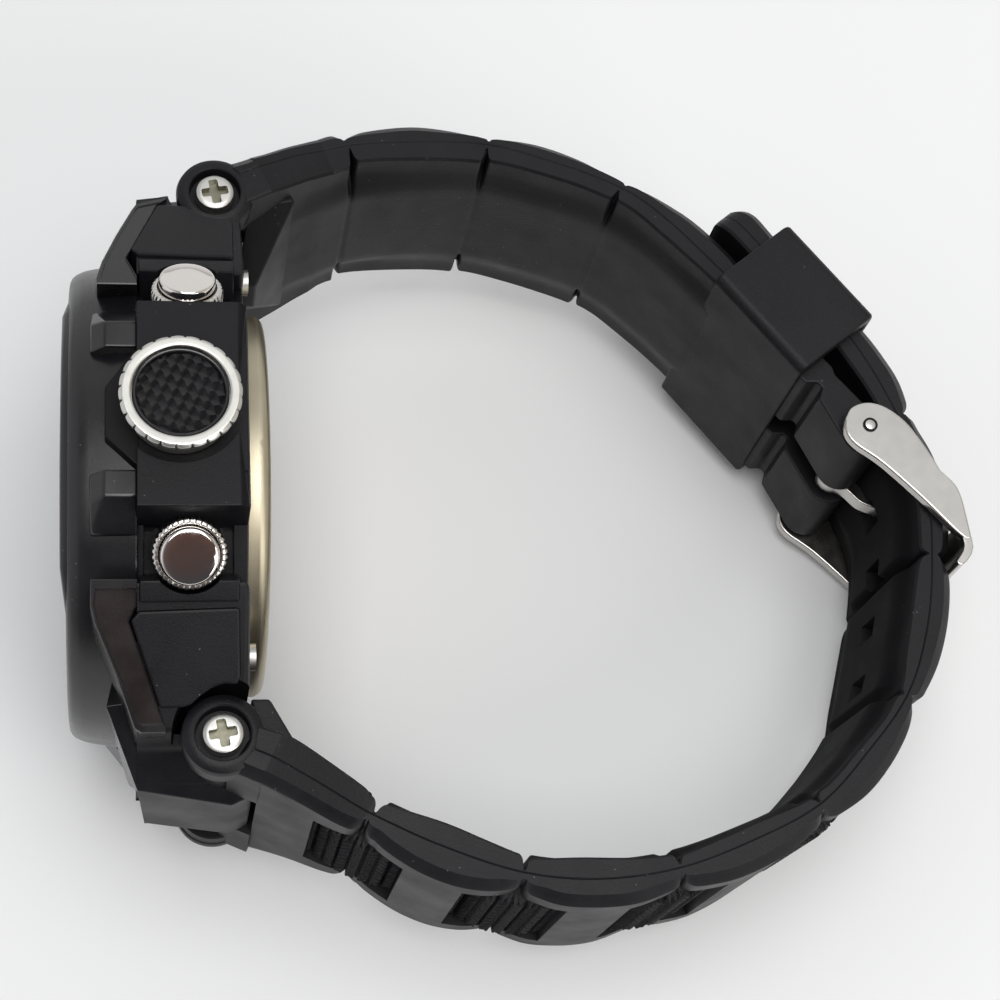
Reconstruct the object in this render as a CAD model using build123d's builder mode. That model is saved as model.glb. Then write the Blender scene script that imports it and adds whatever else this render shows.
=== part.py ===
from build123d import *
import math
import os

os.makedirs("parts", exist_ok=True)

# ------------------------------------------------------------------
# Ana-digi wristwatch on a closed resin strap.
# +X runs from the dial to the case back, +Y to 12 o'clock, +Z to the crown.
# Sketches are drawn with X = 0 on the crown axis; every piece is moved by
# -X_BACK at the end, so the origin lies in the middle of the case back face.
# ------------------------------------------------------------------
X_BACK = 8.67          # outer face of the case back
X_REAR = 6.35          # rear face of the resin case
X_FRONT = -3.9         # joint between case and bezel
X_BEZEL = -10.64       # front of the bezel ring
R_BEZEL = 23.5         # bezel ring radius
R_BORE = 17.6          # bore through bezel and case
R_BACK = 19.46         # raised disc of the case back
R_SCREW_PC = 22.8      # case back screws, pitch radius
A_SCREW = 60.0         # their angle from +Z toward +Y
CROWN_R = 5.4
CROWN_FACE = 28.96
CROWN_SEAT = 25.2
PUSH_X = 0.82
PUSH_A = 30.8          # pusher angle from +Z toward +-Y
PUSH_CAP_R = 2.7
PUSH_TOP = 27.5
PUSH_TRAVEL = 0.9
LUG_X, LUG_Y = 3.92, 28.13
LUG_R = 3.7
LUG_BLOCK = 11.0       # half width of the case block between the strap ears
EAR_IN, EAR_OUT = 11.35, 15.1
STRAP_W = 12.0         # half width of the strap links
PAD_W = 8.6            # half width of the strap's middle part
PIN = (69.9, 3.6)      # buckle pin
KC = (63.23, 17.32)    # keeper centre
KU = (0.609, -0.793)   # strap direction at the keeper
KN = (0.793, 0.609)    # outward direction at the keeper
RUN = 0.06             # running fit


def save(part, label):
    moved = part.moved(Location((-X_BACK, 0, 0)))
    moved.label = label
    export_step(moved, "parts/%s.step" % label)


def kp(u, n):
    """Point at u along the strap and n outward of the keeper centre."""
    return (KC[0] + KU[0] * u + KN[0] * n, KC[1] + KU[1] * u + KN[1] * n)


def push_plane(sign_y, sign_z, r):
    """Plane square to a pusher axis at radius r, normal pointing outward."""
    a = math.radians(PUSH_A)
    n = (0, sign_y * math.sin(a), sign_z * math.cos(a))
    return Plane(origin=(PUSH_X, n[1] * r, n[2] * r), x_dir=(1, 0, 0), z_dir=n)


screw_spots = [(sy * R_SCREW_PC * math.sin(math.radians(A_SCREW)), sz * R_SCREW_PC * math.cos(math.radians(A_SCREW)))
               for sy in (1, -1) for sz in (1, -1)]
screw_angles = [math.degrees(math.atan2(z, y)) for y, z in screw_spots]

CORNER_N = (0.4848, 0.8746)      # corner panels: normal in Y and Z
CORNER_P = (17.9, 20.4)          # a point of the panel plane


def corner_plane(sy, sz, h):
    """Plane of one sloped corner panel, h above its face."""
    n = (0, sy * CORNER_N[0], sz * CORNER_N[1])
    return Plane(origin=(0, sy * CORNER_P[0] + n[1] * h, sz * CORNER_P[1] + n[2] * h), x_dir=(1, 0, 0), z_dir=n)


def corner_points(sy, sz, pts):
    """Points given as (X, |Y|) on the panel, in that plane's own coordinates."""
    return [(x, sy * sz * (y - CORNER_P[0]) / CORNER_N[1]) for x, y in pts]


PUSHERS = {"pusher_2": (1, 1), "pusher_4": (-1, 1), "pusher_8": (-1, -1), "pusher_10": (1, -1)}

# ------------------------------------------------------------------ case
# outline in the Y-Z plane, first quadrant, mirrored to all four
quad = [(0, 26.5), (10.2, 26.5), (17.9, 20.4), (26.2, 15.8), (27.2, 11.0), (31.9, 6.5), (32.2, 5.8), (32.2, 0)]
ring = quad + [(y, -z) for y, z in reversed(quad[:-1])]
full = ring + [(-y, z) for y, z in reversed(ring[1:-1])]

with BuildPart() as case_middle:
    with BuildSketch(Plane.YZ.offset(X_FRONT)):
        with BuildLine():
            Polyline(*full, close=True)
        make_face()
    extrude(amount=X_REAR - X_FRONT)
    # slope the rear edge a little and round the long outer edges
    rear = case_middle.faces().sort_by(Axis.X)[-1]
    chamfer(rear.edges(), length=0.8)
    # pusher recesses, square to the pusher axes
    for sy, sz in PUSHERS.values():
        with BuildSketch(push_plane(sy, sz, 23.6)):
            Rectangle(30, 9.6)
        extrude(amount=8, mode=Mode.SUBTRACT)
    # ledge beside each recess floor
    for sy, sz in PUSHERS.values():
        with BuildSketch(push_plane(sy, sz, 23.0)):
            with Locations((0, 0)):
                Rectangle(8.4, 8.6)
        extrude(amount=0.65, mode=Mode.SUBTRACT)
    # raised panel on each sloped corner
    for sy, sz in PUSHERS.values():
        with BuildSketch(corner_plane(sy, sz, -0.5)):
            with BuildLine():
                Polyline(*corner_points(sy, sz, [(-3.7, 18.0), (5.4, 18.0), (5.4, 23.9), (0.4, 25.9), (-1.8, 25.9),
                                                 (-3.7, 20.9)]), close=True)
            make_face()
        extrude(amount=0.85)
    # crown seat
    with BuildSketch(Plane.XY.offset(CROWN_SEAT)):
        Circle(CROWN_R + 0.45)
    extrude(amount=6, mode=Mode.SUBTRACT)
    # room for the strap ears
    for sy in (1, -1):
        with BuildSketch(Plane.XY.offset(LUG_BLOCK + 0.1)):
            with Locations((LUG_X, sy * LUG_Y)):
                Circle(LUG_R + 0.3)
            with Locations((LUG_X + 6, sy * (LUG_Y + 2.0))):
                Rectangle(12, 12)
        extrude(amount=10, mode=Mode.SUBTRACT)
        with BuildSketch(Plane.XY.offset(-LUG_BLOCK - 0.1)):
            with Locations((LUG_X, sy * LUG_Y)):
                Circle(LUG_R + 0.3)
            with Locations((LUG_X + 6, sy * (LUG_Y + 2.0))):
                Rectangle(12, 12)
        extrude(amount=-10, mode=Mode.SUBTRACT)
        # rear corner of the lug block rounded off to follow the barrel
        with BuildSketch(Plane.XY.offset(-LUG_BLOCK - 1)):
            with Locations((LUG_X + 5.0, sy * (LUG_Y + 5.2))):
                Rectangle(6, 6, rotation=45)
        extrude(amount=2 * LUG_BLOCK + 2, mode=Mode.SUBTRACT)
        # tube bore
        with BuildSketch(Plane.XY.offset(-20)):
            with Locations((LUG_X, sy * LUG_Y)):
                Circle(1.55)
        extrude(amount=40, mode=Mode.SUBTRACT)
    # movement bore, back recess, gasket groove
    with BuildSketch(Plane.YZ.offset(X_FRONT - 1)):
        Circle(R_BORE)
    extrude(amount=20, mode=Mode.SUBTRACT)
    with BuildSketch(Plane.YZ.offset(5.6)):
        Circle(20.05)
        with Locations(*screw_spots):
            Circle(1.95)
        for k in range(4):
            with Locations(Location((0, 0, 0), (0, 0, screw_angles[k]))):
                with Locations((20.6, 0)):
                    Rectangle(4.4, 3.9)
    extrude(amount=5, mode=Mode.SUBTRACT)
    with BuildSketch(Plane.YZ.offset(4.85)):
        Circle(19.25)
        Circle(18.25, mode=Mode.SUBTRACT)
    extrude(amount=1, mode=Mode.SUBTRACT)
    # screw holes for the case back
    with BuildSketch(Plane.YZ.offset(1.6)):
        with Locations(*screw_spots):
            Circle(0.62)
    extrude(amount=6, mode=Mode.SUBTRACT)
    # crown tube bore
    with BuildSketch(Plane.XY.offset(10)):
        Circle(1.6)
    extrude(amount=20, mode=Mode.SUBTRACT)
    # pusher bores: shank, seal groove, stem
    for sy, sz in PUSHERS.values():
        with BuildSketch(push_plane(sy, sz, 19.4)):
            Circle(2.1)
        extrude(amount=8, mode=Mode.SUBTRACT)
        with BuildSketch(push_plane(sy, sz, 18.5)):
            Circle(1.15)
        extrude(amount=0.8, mode=Mode.SUBTRACT)
        with BuildSketch(push_plane(sy, sz, 15)):
            Circle(0.66)
        extrude(amount=8, mode=Mode.SUBTRACT)
save(case_middle.part, "case_middle")

# ------------------------------------------------------------------ bezel
with BuildPart() as bezel:
    # round flank and front ring
    with BuildSketch(Plane.XY):
        with BuildLine():
            Polyline((X_FRONT, 10), (X_FRONT, 24.6), (-9.6, 24.1), (-10.2, R_BEZEL), (X_BEZEL, 22.8),
                     (X_BEZEL, 20.2), (-10.0, 18.4), (-10.0, 10), close=True)
        make_face()
    revolve(axis=Axis.X)
    # raised sectors on the front at 3 and 9 o'clock
    with BuildSketch(Plane.YZ.offset(-10.9)):
        Circle(22.9)
        Circle(20.4, mode=Mode.SUBTRACT)
        Rectangle(26, 60, mode=Mode.INTERSECT)
    extrude(amount=0.4)
    # shoulder plates over the four corners
    for sy in (1, -1):
        for sz in (1, -1):
            with BuildSketch(corner_plane(sy, sz, -4.5)):
                with BuildLine():
                    Polyline(*corner_points(sy, sz, [(-8.1, 15.5), (-8.1, 17.3), (-6.8, 22.1), (-4.1, 27.5),
                                                     (X_FRONT, 27.5), (X_FRONT, 15.5)]), close=True)
                make_face()
            extrude(amount=4.5)
    # hoods toward the strap at 12 and 6 o'clock
    for sy in (1, -1):
        with BuildSketch(Plane.XY.offset(-6.3)):
            with BuildLine():
                Polyline((X_FRONT, sy * 22.0), (-8.4, sy * 22.4), (-6.2, sy * 24.4), (-4.2, sy * 31.5),
                         (X_FRONT, sy * 31.7), close=True)
            make_face()
        extrude(amount=12.6)
    # blocks beside the crown and the plate under it
    for sy in (1, -1):
        for sz in (1, -1):
            with BuildSketch(Plane.YZ.offset(-8.1)):
                with BuildLine():
                    Polyline((sy * 5.9, sz * 21.0), (sy * 6.1, sz * 25.0), (sy * 8.7, sz * 25.0),
                             (sy * 12.0, sz * 20.9), (sy * 11.0, sz * 19.0), close=True)
                make_face()
            extrude(amount=X_FRONT + 8.1)
            with BuildSketch(Plane.XZ):
                with BuildLine():
                    Polyline((-8.2, sz * 23.6), (-6.6, sz * 25.2), (-8.2, sz * 25.2), close=True)
                make_face()
            extrude(amount=-sy * 14, mode=Mode.SUBTRACT)
    with BuildSketch(Plane.XY.offset(21.0)):
        with BuildLine():
            Polyline((X_FRONT, -6.1), (-4.6, -6.1), (-6.8, -3.2), (-6.8, 3.2), (-4.6, 6.1), (X_FRONT, 6.1), close=True)
        make_face()
    extrude(amount=4.4)
    # bore with a seat for the crystal and its gasket
    with BuildSketch(Plane.YZ.offset(-12)):
        Circle(17.75)
    extrude(amount=3.7, mode=Mode.SUBTRACT)
    with BuildSketch(Plane.YZ.offset(-8.4)):
        Circle(17.2)
    extrude(amount=8, mode=Mode.SUBTRACT)
    # sunk field in each shoulder plate
    for sy in (1, -1):
        for sz in (1, -1):
            with BuildSketch(corner_plane(sy, sz, -0.4)):
                with BuildLine():
                    Polyline(*corner_points(sy, sz, [(-7.5, 16.3), (-7.5, 18.1), (-6.3, 21.9), (-4.2, 26.4),
                                                     (-3.8, 26.4), (-3.8, 16.3)]), close=True)
                make_face()
            extrude(amount=2, mode=Mode.SUBTRACT)
save(bezel.part, "bezel")

with BuildPart() as crystal:
    with BuildSketch(Plane.YZ.offset(-10.1)):
        Circle(17.3)
    extrude(amount=1.65)
    chamfer(crystal.faces().sort_by(Axis.X)[0].edges(), length=0.25)
save(crystal.part, "crystal")

with BuildPart() as crystal_gasket:
    with BuildSketch(Plane.YZ.offset(-9.7)):
        Circle(17.7)
        Circle(17.34, mode=Mode.SUBTRACT)
    extrude(amount=1.3)
save(crystal_gasket.part, "crystal_gasket")

with BuildPart() as chapter_ring:
    with BuildSketch(Plane.XY):
        with BuildLine():
            Polyline((-8.35, 17.1), (-6.4, 17.1), (-6.4, 14.6), (-6.7, 14.6), (-8.35, 16.5), close=True)
        make_face()
    revolve(axis=Axis.X)
    # twelve raised index blocks on the sloped ring
    with BuildSketch(Plane.YZ.offset(-7.9)):
        with PolarLocations(15.7, 12):
            Rectangle(1.5, 0.7)
    extrude(amount=1.2)
save(chapter_ring.part, "chapter_ring")

# ------------------------------------------------------------------ dial side
with BuildPart() as dial:
    with BuildSketch(Plane.YZ.offset(-6.3)):
        Circle(17.0)
        Circle(1.0, mode=Mode.SUBTRACT)
        with Locations((-8.0, 0)):
            RectangleRounded(5.0, 13.0, 0.8, mode=Mode.SUBTRACT)
        with Locations((6.5, 0)):
            RectangleRounded(4.2, 9.0, 0.8, mode=Mode.SUBTRACT)
    extrude(amount=0.5)
    with BuildSketch(Plane.YZ.offset(-6.6)):
        with PolarLocations(13.0, 12):
            Rectangle(2.2, 0.9)
        with Locations((-8.0, 0)):
            RectangleRounded(6.4, 14.4, 1.2)
            RectangleRounded(5.0, 13.0, 0.8, mode=Mode.SUBTRACT)
        with Locations((6.5, 0)):
            RectangleRounded(5.4, 10.2, 1.2)
            RectangleRounded(4.2, 9.0, 0.8, mode=Mode.SUBTRACT)
    extrude(amount=0.32)
save(dial.part, "dial")

with BuildPart() as lcd_panel:
    with BuildSketch(Plane.YZ.offset(-5.75)):
        with Locations((-8.0, 0)):
            RectangleRounded(6.6, 14.6, 0.4)
        with Locations((6.5, 0)):
            RectangleRounded(5.6, 10.6, 0.4)
    extrude(amount=0.9)
save(lcd_panel.part, "lcd_panel")


def hand(x0, t, hub, bore, points, pipe_len, pipe_r):
    """Flat hand in the Y-Z plane with a hub and a pipe that runs back through the dial."""
    with BuildPart() as h:
        with BuildSketch(Plane.YZ.offset(x0)):
            Circle(hub)
            with BuildLine():
                Polyline(*points, close=True)
            make_face()
            if bore:
                Circle(bore, mode=Mode.SUBTRACT)
        extrude(amount=t)
        with BuildSketch(Plane.YZ.offset(x0)):
            Circle(pipe_r)
            if bore:
                Circle(bore, mode=Mode.SUBTRACT)
        extrude(amount=pipe_len)
    return h.part


a_h = math.radians(305)      # hour hand, clockwise from 12
a_m = math.radians(50)
a_s = math.radians(180)


def blade(angle, length, w0, w1, tail):
    c, s = math.cos(angle), math.sin(angle)
    pts = [(-tail, -w0 * 0.5), (length * 0.8, -w1 * 0.5), (length, 0), (length * 0.8, w1 * 0.5), (-tail, w0 * 0.5)]
    return [(c * p - s * q, s * p + c * q) for p, q in pts]


save(hand(-6.95, 0.2, 1.45, 0.62, blade(a_h, 8.2, 1.3, 1.7, 2.2), 2.6, 0.9), "hour_hand")
save(hand(-7.35, 0.2, 1.3, 0.30, blade(a_m, 12.4, 1.1, 1.4, 2.6), 3.2, 0.55), "minute_hand")
save(hand(-7.75, 0.18, 1.0, 0, blade(a_s, 13.4, 0.45, 0.3, 4.0), 3.8, 0.24), "second_hand")

# ------------------------------------------------------------------ movement
with BuildPart() as movement_holder:
    with BuildSketch(Plane.YZ.offset(-5.7)):
        Circle(17.1)
        Circle(15.7, mode=Mode.SUBTRACT)
    extrude(amount=10.9)
    with BuildSketch(Plane.XY.offset(12)):
        Circle(1.1)
    extrude(amount=8, mode=Mode.SUBTRACT)
    for sy, sz in PUSHERS.values():
        with BuildSketch(push_plane(sy, sz, 14)):
            Circle(1.0)
        extrude(amount=8, mode=Mode.SUBTRACT)
save(movement_holder.part, "movement_holder")

with BuildPart() as movement_module:
    with BuildSketch(Plane.YZ.offset(-5.75)):
        Circle(15.6)
    extrude(amount=7.35)
    with BuildSketch(Plane.YZ.offset(-5.8)):
        with Locations((-8.0, 0)):
            RectangleRounded(6.8, 14.8, 0.4)
        with Locations((6.5, 0)):
            RectangleRounded(5.8, 10.8, 0.4)
    extrude(amount=1.05, mode=Mode.SUBTRACT)
    with BuildSketch(Plane.YZ.offset(-6)):
        Circle(1.05)
    extrude(amount=3.2, mode=Mode.SUBTRACT)
    with BuildSketch(Plane.XY.offset(11.5)):
        Circle(1.0)
    extrude(amount=6, mode=Mode.SUBTRACT)
    # pocket for the stepping motor, open to the rear
    with BuildSketch(Plane.YZ.offset(-0.6)):
        with Locations((10.5, -3.2)):
            Rectangle(4.2, 10.4)
    extrude(amount=4, mode=Mode.SUBTRACT)
save(movement_module.part, "movement_module")

with BuildPart() as motor_coil:
    with BuildSketch(Plane.XY.offset(-7.6)):
        with Locations((0.5, 11.0)):
            Circle(0.85)
            Circle(0.42, mode=Mode.SUBTRACT)
    extrude(amount=8.6)
save(motor_coil.part, "motor_coil")

with BuildPart() as motor_stator:
    with BuildSketch(Plane.XY.offset(-8.1)):
        with Locations((0.5, 11.0)):
            Circle(0.38)
    extrude(amount=9.8)
    with BuildSketch(Plane.YZ.offset(0.05)):
        with Locations((10.4, -7.95)):
            Rectangle(3.4, 0.5)
        with Locations((10.4, 1.35)):
            Rectangle(3.4, 0.5)
    extrude(amount=0.9)
save(motor_stator.part, "motor_stator")

with BuildPart() as circuit_board:
    with BuildSketch(Plane.YZ.offset(1.65)):
        Circle(15.4)
        with Locations((10.5, -3.2)):
            Rectangle(3.6, 9.6, mode=Mode.SUBTRACT)
    extrude(amount=0.7)
    with BuildSketch(Plane.YZ.offset(2.35)):
        with Locations((11.4, 5.2)):
            Rectangle(3.4, 3.4)
    extrude(amount=0.7)
save(circuit_board.part, "circuit_board")

with BuildPart() as battery:
    with BuildSketch(Plane.YZ.offset(2.42)):
        with Locations((-2.6, 0)):
            Circle(10.0)
    extrude(amount=1.3)
    with BuildSketch(Plane.YZ.offset(3.72)):
        with Locations((-2.6, 0)):
            Circle(8.8)
    extrude(amount=0.3)
save(battery.part, "battery")

with BuildPart() as battery_clamp:
    with BuildSketch(Plane.YZ.offset(4.06)):
        with Locations((-2.6, 0)):
            Rectangle(3.4, 23.0)
    extrude(amount=0.25)
    with BuildSketch(Plane.YZ.offset(2.38)):
        for s in (1, -1):
            with Locations((-2.6, s * 11.2)):
                Rectangle(3.4, 0.6)
    extrude(amount=1.7)
save(battery_clamp.part, "battery_clamp")

with BuildPart() as quartz_can:
    with BuildSketch(Plane.YZ.offset(2.38)):
        with Locations((6.0, 11.4)):
            RectangleRounded(5.2, 1.6, 0.5)
    extrude(amount=1.4)
save(quartz_can.part, "quartz_can")

with BuildPart() as buzzer:
    with BuildSketch(Plane.YZ.offset(5.36)):
        Circle(14.2)
    extrude(amount=0.2)
save(buzzer.part, "buzzer")

with BuildPart() as buzzer_spring:
    with BuildLine() as coil:
        Helix(pitch=0.62, height=2.5, radius=0.55, center=(2.6, -13.6, 0), direction=(1, 0, 0))
    with BuildSketch(Plane(origin=coil.line @ 0, z_dir=coil.line % 0)):
        Circle(0.12)
    sweep()
save(buzzer_spring.part, "buzzer_spring")

# ------------------------------------------------------------------ case back
with BuildPart() as case_back:
    with BuildSketch(Plane.YZ.offset(5.65)):
        Circle(19.95)
        with Locations(*screw_spots):
            Circle(1.85)
        for k in range(4):
            with Locations(Location((0, 0, 0), (0, 0, screw_angles[k]))):
                with Locations((20.6, 0)):
                    Rectangle(4.4, 3.7)
    extrude(amount=0.7)
    with BuildSketch(Plane.YZ.offset(6.3)):
        Circle(R_BACK)
    extrude(amount=X_BACK - 6.3)
    fillet(case_back.faces().sort_by(Axis.X)[-1].edges(), radius=1.1)
    with BuildSketch(Plane.YZ.offset(5)):
        with Locations(*screw_spots):
            Circle(0.7)
    extrude(amount=3, mode=Mode.SUBTRACT)
    # shallow groove round the middle of the back
    with BuildSketch(Plane.YZ.offset(X_BACK - 0.2)):
        Circle(15.4)
        Circle(14.9, mode=Mode.SUBTRACT)
    extrude(amount=1, mode=Mode.SUBTRACT)
save(case_back.part, "case_back")

with BuildPart() as case_back_gasket:
    with BuildSketch(Plane.YZ.offset(4.9)):
        Circle(19.15)
        Circle(18.35, mode=Mode.SUBTRACT)
    extrude(amount=0.72)
save(case_back_gasket.part, "case_back_gasket")

with BuildPart() as case_back_screws:
    with BuildSketch(Plane.YZ.offset(6.37)):
        with Locations(*screw_spots):
            Circle(1.3)
    extrude(amount=0.85)
    with BuildSketch(Plane.YZ.offset(2.2)):
        with Locations(*screw_spots):
            Circle(0.56)
    extrude(amount=4.3)
    with BuildSketch(Plane.YZ.offset(6.85)):
        with Locations(*screw_spots):
            Rectangle(0.35, 1.6)
            Rectangle(1.6, 0.35)
    extrude(amount=1, mode=Mode.SUBTRACT)
save(case_back_screws.part, "case_back_screws")

# ------------------------------------------------------------------ crown
with BuildPart() as crown_tube:
    with BuildSketch(Plane.XY.offset(18.2)):
        Circle(1.57)
        Circle(1.0, mode=Mode.SUBTRACT)
    extrude(amount=6.9)
save(crown_tube.part, "crown_tube")

with BuildPart() as crown_shell:
    with BuildSketch(Plane.XY.offset(25.5)):
        Circle(CROWN_R)
    extrude(amount=CROWN_FACE - 25.5)
    chamfer(crown_shell.faces().sort_by(Axis.Z)[-1].edges(), length=0.3)
    with BuildSketch(Plane.XY.offset(25.0)):
        with PolarLocations(CROWN_R + 0.12, 36):
            Circle(0.3)
    extrude(amount=5, mode=Mode.SUBTRACT)
    with BuildSketch(Plane.XY.offset(CROWN_FACE - 1.0)):
        Circle(4.42)
    extrude(amount=2, mode=Mode.SUBTRACT)
    with BuildSketch(Plane.XY.offset(25.0)):
        Circle(0.8)
    extrude(amount=2.4, mode=Mode.SUBTRACT)
save(crown_shell.part, "crown_shell")

with BuildPart() as crown_inlay:
    with BuildSketch(Plane.XY.offset(CROWN_FACE - 0.98)):
        Circle(4.38)
    extrude(amount=0.86)
    # pyramid field cut as two sets of V grooves
    with BuildSketch(Plane.XZ.offset(-6)):
        with Locations(*[(-3.85 + 1.1 * k, CROWN_FACE - 0.05) for k in range(8)]):
            Rectangle(0.42, 0.42, rotation=45)
    extrude(amount=12, mode=Mode.SUBTRACT)
    with BuildSketch(Plane.YZ.offset(-6)):
        with Locations(*[(-3.85 + 1.1 * k, CROWN_FACE - 0.05) for k in range(8)]):
            Rectangle(0.42, 0.42, rotation=45)
    extrude(amount=12, mode=Mode.SUBTRACT)
save(crown_inlay.part, "crown_inlay")

with BuildPart() as crown_stem:
    with BuildSketch(Plane.XY.offset(13.2)):
        Circle(0.72)
    extrude(amount=14.1)
    with BuildSketch(Plane.XY.offset(20.9)):
        Circle(0.9)
        Circle(0.55, mode=Mode.SUBTRACT)
    extrude(amount=1.0, mode=Mode.SUBTRACT)
save(crown_stem.part, "crown_stem")

with BuildPart() as crown_seal:
    with BuildSketch(Plane.XY.offset(21.0)):
        Circle(0.97)
        Circle(0.6, mode=Mode.SUBTRACT)
    extrude(amount=0.8)
save(crown_seal.part, "crown_seal")

# ------------------------------------------------------------------ pushers
for name, (sy, sz) in PUSHERS.items():
    with BuildPart() as pusher:
        with BuildSketch(push_plane(sy, sz, 25.9)):
            Circle(PUSH_CAP_R)
        extrude(amount=PUSH_TOP - 25.9)
        far = pusher.faces().sort_by_distance((PUSH_X, 60 * sy * math.sin(math.radians(PUSH_A)),
                                               60 * sz * math.cos(math.radians(PUSH_A))))[0]
        fillet(far.edges(), radius=0.45)
        with BuildSketch(push_plane(sy, sz, 22.0)):
            Circle(2.0)
        extrude(amount=4.0)
        with BuildSketch(push_plane(sy, sz, 17.8)):
            Circle(0.6)
        extrude(amount=5.0)
    save(pusher.part, name)

with BuildPart() as pusher_collars:
    for sy, sz in PUSHERS.values():
        with BuildSketch(push_plane(sy, sz, 23.02)):
            Circle(3.35)
            Circle(2.1, mode=Mode.SUBTRACT)
            with PolarLocations(3.42, 32):
                Circle(0.17, mode=Mode.SUBTRACT)
        extrude(amount=1.95)
save(pusher_collars.part, "pusher_collars")

with BuildPart() as pusher_springs:
    for sy, sz in PUSHERS.values():
        with BuildSketch(push_plane(sy, sz, 19.45)):
            Circle(1.5)
            Circle(1.2, mode=Mode.SUBTRACT)
        extrude(amount=0.3)
        with BuildSketch(push_plane(sy, sz, 19.75)):
            with PolarLocations(1.35, 3):
                Circle(0.14)
        extrude(amount=0.35)
        with BuildSketch(push_plane(sy, sz, 20.1)):
            Circle(1.5)
            Circle(1.2, mode=Mode.SUBTRACT)
        extrude(amount=0.3)
        with BuildSketch(push_plane(sy, sz, 20.4)):
            with PolarLocations(1.35, 3, start_angle=60):
                Circle(0.14)
        extrude(amount=0.3)
        with BuildSketch(push_plane(sy, sz, 20.7)):
            Circle(1.5)
            Circle(1.2, mode=Mode.SUBTRACT)
        extrude(amount=0.3)
save(pusher_springs.part, "pusher_springs")

with BuildPart() as pusher_seals:
    for sy, sz in PUSHERS.values():
        with BuildSketch(push_plane(sy, sz, 18.6)):
            Circle(1.1)
            Circle(0.64, mode=Mode.SUBTRACT)
        extrude(amount=0.6)
save(pusher_seals.part, "pusher_seals")

# ------------------------------------------------------------------ strap, 12 o'clock half
outer12 = [
    [(1.6, 31.3), (3.9, 32.1), (6.4, 33.2), (10, 34.9), (14, 36.3), (16.4, 36.8)],
    [(18.2, 36.8), (20, 37.5), (25, 38.3), (30, 37.6), (31.9, 36.9)],
    [(33.3, 36.9), (38, 36.4), (42, 34.9), (46.3, 32.4)],
    [(47.6, 31.8), (50, 30.7), (54, 27.9), (57.6, 24.0)],
]
inner12 = [
    [(7.7, 28.2), (13, 31.3), (17.3, 33.1)],
    [(18.8, 33.6), (22, 33.9), (31.4, 33.9)],
    [(33.0, 33.9), (40, 32.0), (45.4, 29.9)],
    [(46.7, 29.6), (51, 25.5), (54.6, 21.6), kp(-7.4, -4.2)],
]
apex_out12 = [(17.4, 36.0), (32.6, 36.3), (46.9, 31.5), (58.3, 23.0)]
apex_in12 = [(18.0, 34.7), (32.3, 35.1), (46.2, 30.7), (58.3, 20.2)]


def strap_profile_12():
    pts = [(LUG_X - 0.5, 31.2)]
    for k in range(4):
        pts += outer12[k] if k else outer12[0][1:]
        pts.append(apex_out12[k])
    pts += [kp(-6.5, -0.7), kp(6.2, -0.7), (67.5, 10.0), (68.2, 9.2), (70.0, 7.0), (71.2, 5.7)]
    # round the barrel at the pin
    for d in (35, 5, -30, -65, -100, -135, -170):
        a = math.radians(d)
        pts.append((PIN[0] + 2.5 * math.cos(a), PIN[1] + 2.5 * math.sin(a)))
    pts += [kp(6.8, -4.3), kp(-5.5, -4.3)]
    for k in (3, 2, 1, 0):
        if k < 3:
            pts.append(apex_in12[k])
        pts += list(reversed(inner12[k]))
    pts += [(7.7, 27.2), (LUG_X, LUG_Y)]
    return pts


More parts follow.
